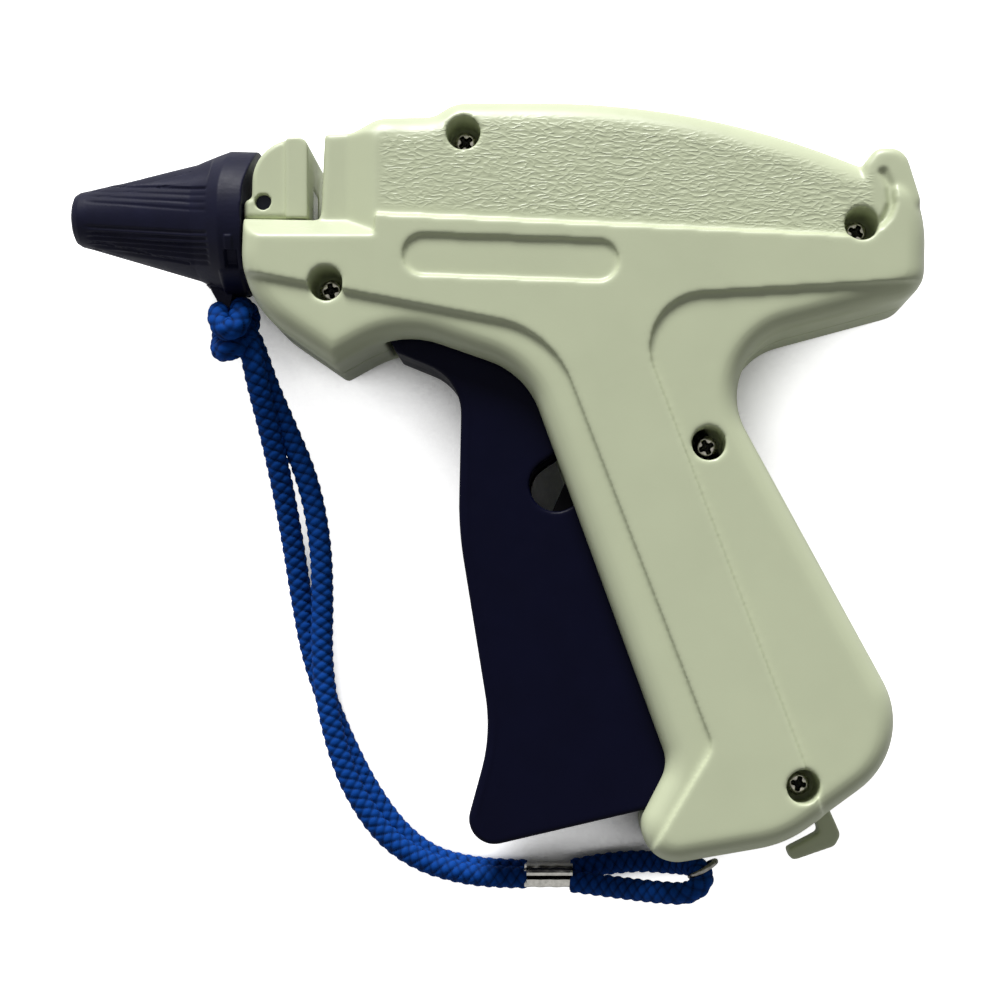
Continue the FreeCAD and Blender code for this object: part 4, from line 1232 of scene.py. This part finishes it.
@dataclass
class CordRun:
    """One run of the plain-braided cord along its route."""

    name: str
    node: str
    route: tuple[Point, ...]
    # Yarns in each direction, and the length of one yarn's crossing.
    yarns: int = 4
    pitch_mm: float = 1.0
    diameter_mm: float = CORD_DIAMETER
    # How deep the hollows between the yarns are, and how far the yarns' backs stand out.
    relief_mm: float = 0.42
    proud_mm: float = 0.17
    yarn_arch: float = 0.75
    step_mm: float = 0.2
    sides: int = 36
    path_every: int = 4

    def relief(self, along: np.ndarray, around: np.ndarray) -> np.ndarray:
        """How high the braid's yarns stand.

        Args:
            along: distance along the cord.
            around: share of the way round, 0 to 1.

        Returns:
            Heights from 0 in the hollows to 1 on the yarns' backs.
        """
        right = around * self.yarns + along / mm(self.pitch_mm) / 2
        left = around * self.yarns - along / mm(self.pitch_mm) / 2
        over = np.mod(np.floor(right) - np.floor(left), 2) < 1
        across = np.where(over, right, left) % 1.0
        lengthways = np.where(over, left, right) % 1.0
        back = np.sqrt(np.clip(1 - (2 * across - 1) ** 2, 0, 1))
        swell = np.sqrt(np.clip(1 - self.yarn_arch * (2 * lengthways - 1) ** 2, 0, 1))
        return back * swell

    def build(self, wardrobe: Wardrobe) -> tuple[bpy.types.Object, np.ndarray]:
        """Makes a closed tube along the route, with the braid's relief on its surface.

        Args:
            wardrobe: where materials come from.

        Returns:
            The object and its centre line.
        """
        line = even_points(smooth_line(self.name, [place(*p) for p in self.route]),
                           mm(self.step_mm))
        side, up = travelling_frames(line)
        along, turn = np.meshgrid(distances(line), np.arange(self.sides) / self.sides,
                                  indexing="ij")
        relief = self.relief(along, turn)
        radius = mm(self.diameter_mm / 2 + self.proud_mm) - mm(self.relief_mm) * (1 - relief)
        angle = turn * 2 * math.pi
        points = (line[:, None, :] + (np.cos(angle) * radius)[..., None] * side[:, None, :]
                  + (np.sin(angle) * radius)[..., None] * up[:, None, :])
        last = (len(line) - 1) * self.sides
        faces = []
        for i in range(0, last, self.sides):
            for j in range(self.sides):
                k = (j + 1) % self.sides
                faces.append((i + j, i + k, i + self.sides + k, i + self.sides + j))
        faces.append(tuple(reversed(range(self.sides))))
        faces.append(tuple(range(last, last + self.sides)))
        thing = mesh_object(self.name, points.reshape(-1, 3), faces,
                            wardrobe.get(CORD_POLYESTER))
        write_layer(thing.data, "relief", relief)
        return thing, line

    def declare(self, thing: bpy.types.Object, line: np.ndarray, pieces: list[str]) -> None:
        """Hides the node that the run stands for.

        Args:
            thing: the run's object; not used.
            line: its centre line; not used.
            pieces: the fittings at its ends; not used.
        """
        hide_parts(self.node)


@dataclass
class SafetyCord:
    """The cord that ties the cap to the grip: a knot, two strands, a crimp and a ring loop."""

    strands: tuple[CordRun, ...] = (
        CordRun("strand_a", "cord_strand_a", STRAND_A_ROUTE),
        CordRun("strand_b", "cord_strand_b", STRAND_B_ROUTE))
    ring_loop: CordRun = field(default_factory=lambda: CordRun(
        "ring_loop", "cord_ring_loop", RING_LOOP_ROUTE))
    knot: CordRun = field(default_factory=lambda: CordRun("knot_wraps", "cord_knot", KNOT_ROUTE))
    sleeve: CrimpSleeve = field(default_factory=CrimpSleeve)
    eye: WireEye = field(default_factory=WireEye)
    # Two places on the strands' way, one where they rest with the case and one where they reach
    # the cap.
    follow_from: Point = (-38.0, -45.0, 5.0)
    follow_to: Point = (-43.0, 16.0, 12.0)

    def build(self, wardrobe: Wardrobe) -> None:
        """Args:
            wardrobe: where materials come from.
        """
        knot, _ = self.knot.build(wardrobe)
        settle(knot, Body.NOSE_CAP, self.knot.node)
        sleeve = self.sleeve.build(wardrobe)
        self.eye.build(wardrobe)
        for run in self.strands:
            thing, line = run.build(wardrobe)
            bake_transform(thing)
            first = run is self.strands[0]
            run.declare(thing, line, [sleeve.name, knot.name] if first else [sleeve.name])
        thing, line = self.ring_loop.build(wardrobe)
        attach(thing, Body.HOUSING.value)
        self.ring_loop.declare(thing, line, [sleeve.name])


# ---------------------------------------------------------------- studio
@dataclass
class Studio:
    """A white table top, one broad light from the tool's top side, a soft fill and a camera."""

    view_width_mm: float = 170.0
    view_level_mm: float = 28.0
    eye: Point = (15.255, -25.4, 370.0)
    aim: Pair = (1.705, 0.07)
    sensor_mm: float = 36.0
    clip_m: Pair = (0.01, 10.0)
    light_elevation: float = 26.0
    light_azimuth: float = 12.0
    light_strength: float = 5.0
    light_spread: float = 24.0
    sky_strength: float = 0.19
    sky_in_gloss: float = 0.6
    floor_paint: str = "F4F4F4"
    floor_half_m: float = 3.0
    floor_in_gloss: float = 0.12
    # The floor's glow is dimmed by ambient occlusion, which paints its shade near the tool and in
    # crevices: how far it feels for what stands around it, and the open shares between which its
    # painted light rises.
    crevice_mm: float = 30.0
    open_share: Pair = (0.27, 0.52)

    def camera(self) -> None:
        """Looks straight down from the eye, with the frame centred on the aim."""
        data = bpy.data.cameras.new("camera")
        data.sensor_width = self.sensor_mm
        data.lens = self.sensor_mm * (self.eye[2] - self.view_level_mm) / self.view_width_mm
        data.shift_x = (self.aim[0] - self.eye[0]) / self.view_width_mm
        data.shift_y = (self.aim[1] - self.eye[1]) / self.view_width_mm
        data.clip_start, data.clip_end = self.clip_m
        camera = bpy.data.objects.new("camera", data)
        camera.location = [mm(v) for v in self.eye]
        bpy.context.scene.collection.objects.link(camera)
        bpy.context.scene.camera = camera

    def light(self) -> None:
        """One wide, even light from the side of the tool's top."""
        sun = bpy.data.lights.new("window_light", "SUN")
        sun.energy = self.light_strength
        sun.angle = math.radians(self.light_spread)
        lamp = bpy.data.objects.new("window_light", sun)
        lamp.rotation_euler = (-math.radians(90 - self.light_elevation), 0.0,
                               math.radians(self.light_azimuth))
        bpy.context.scene.collection.objects.link(lamp)

    def sky(self) -> None:
        """An even sky: white to the eye and through glass, paler in gloss, dim as a light."""
        world = bpy.data.worlds.new("room")
        world.use_nodes = True
        tree = world.node_tree
        tree.nodes.clear()
        rays = add_node(tree, "LightPath")
        seen = add_node(tree, "Math", {0: rays.outputs["Is Camera Ray"],
                                       1: rays.outputs["Is Transmission Ray"]},
                        operation="MAXIMUM")
        sky = add_node(tree, "MapRange", {"Value": rays.outputs["Is Glossy Ray"],
                                          "To Min": self.sky_strength,
                                          "To Max": self.sky_in_gloss})
        strength = add_node(tree, "Math", {0: seen.outputs["Value"], 1: sky.outputs["Result"]},
                            operation="MAXIMUM")
        room = add_node(tree, "Background", {"Color": (1, 1, 1, 1),
                                             "Strength": strength.outputs["Value"]})
        add_node(tree, "OutputWorld", {"Surface": room.outputs["Background"]})
        bpy.context.scene.world = world

    def floor(self) -> None:
        """The white table top, which keeps a light shadow, with painted shade from ambient
        occlusion that dims its glow near the tool and darkens it in crevices.
        """
        material = bpy.data.materials.new("table_top_white")
        material.use_nodes = True
        tree = material.node_tree
        tree.nodes.clear()
        rays = add_node(tree, "LightPath")
        paint = add_node(tree, "BsdfDiffuse", {"Color": linear(self.floor_paint)})
        # Ambient occlusion dims the glow: painted shade near the tool and in crevices.
        crevice = add_node(tree, "AmbientOcclusion", {"Distance": mm(self.crevice_mm)})
        painted_light_share = add_node(tree, "MapRange", {"Value": crevice.outputs["AO"],
                                                 "From Min": self.open_share[0],
                                                 "From Max": self.open_share[1]})
        gloss = add_node(tree, "Math", {0: rays.outputs["Is Glossy Ray"], 1: self.floor_in_gloss},
                         operation="MULTIPLY")
        mirrored = add_node(tree, "Math", {0: gloss.outputs["Value"],
                                           1: rays.outputs["Is Transmission Ray"]},
                            operation="MAXIMUM")
        seen = add_node(tree, "Math", {0: rays.outputs["Is Camera Ray"],
                                       1: mirrored.outputs["Value"]}, operation="MAXIMUM")
        lift = add_node(tree, "Math", {0: seen.outputs["Value"], 1: painted_light_share.outputs["Result"]},
                        operation="MULTIPLY")
        glow = add_node(tree, "Emission", {"Strength": lift.outputs["Value"]})
        both = add_node(tree, "AddShader", {0: paint.outputs[0], 1: glow.outputs[0]})
        add_node(tree, "OutputMaterial", {"Surface": both.outputs[0]})
        half = self.floor_half_m
        points = [(-half, -half, 0), (half, -half, 0), (half, half, 0), (-half, half, 0)]
        mesh_object("table_top", points, [(0, 1, 2, 3)], material, smooth=False)

    def build(self) -> None:
        """Sets up the whole studio."""
        bpy.context.scene.view_settings.view_transform = "Standard"
        self.camera()
        self.light()
        self.sky()
        self.floor()


def main() -> None:
    """Builds the studio and every piece."""
    logging.basicConfig(level=logging.INFO, format="%(name)s: %(message)s")
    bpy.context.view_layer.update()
    wardrobe = Wardrobe()
    Studio().build()
    wardrobe.dress_nodes()
    SafetyCord().build(wardrobe)
    WoundSpring().build(wardrobe)
    CaseScrews().build(wardrobe)
    mouldings = (
        CaseHalf("left_shell", Body.HOUSING, "case_abs", CASE_ABS,
                 voxel_mm=0.34, smoothing=12),
        CaseHalf("right_shell", Body.HOUSING, "case_abs", CASE_ABS,
                 voxel_mm=0.4, smoothing=8),
        RibbedCap("nose_cap", Body.NOSE_CAP, "cap_plastic", CAP_PP,
                  voxel_mm=0.2, smoothing=2),
        Moulding("nose_block", Body.HOUSING, "case_abs", CASE_ABS,
                 voxel_mm=0.3, smoothing=3),
        Trigger("trigger", Body.TRIGGER, "trigger_plastic", TRIGGER_ACETAL,
                voxel_mm=0.35, smoothing=4))
    for moulding in mouldings:
        moulding.build(wardrobe)


if __name__ == "__main__":
    main()
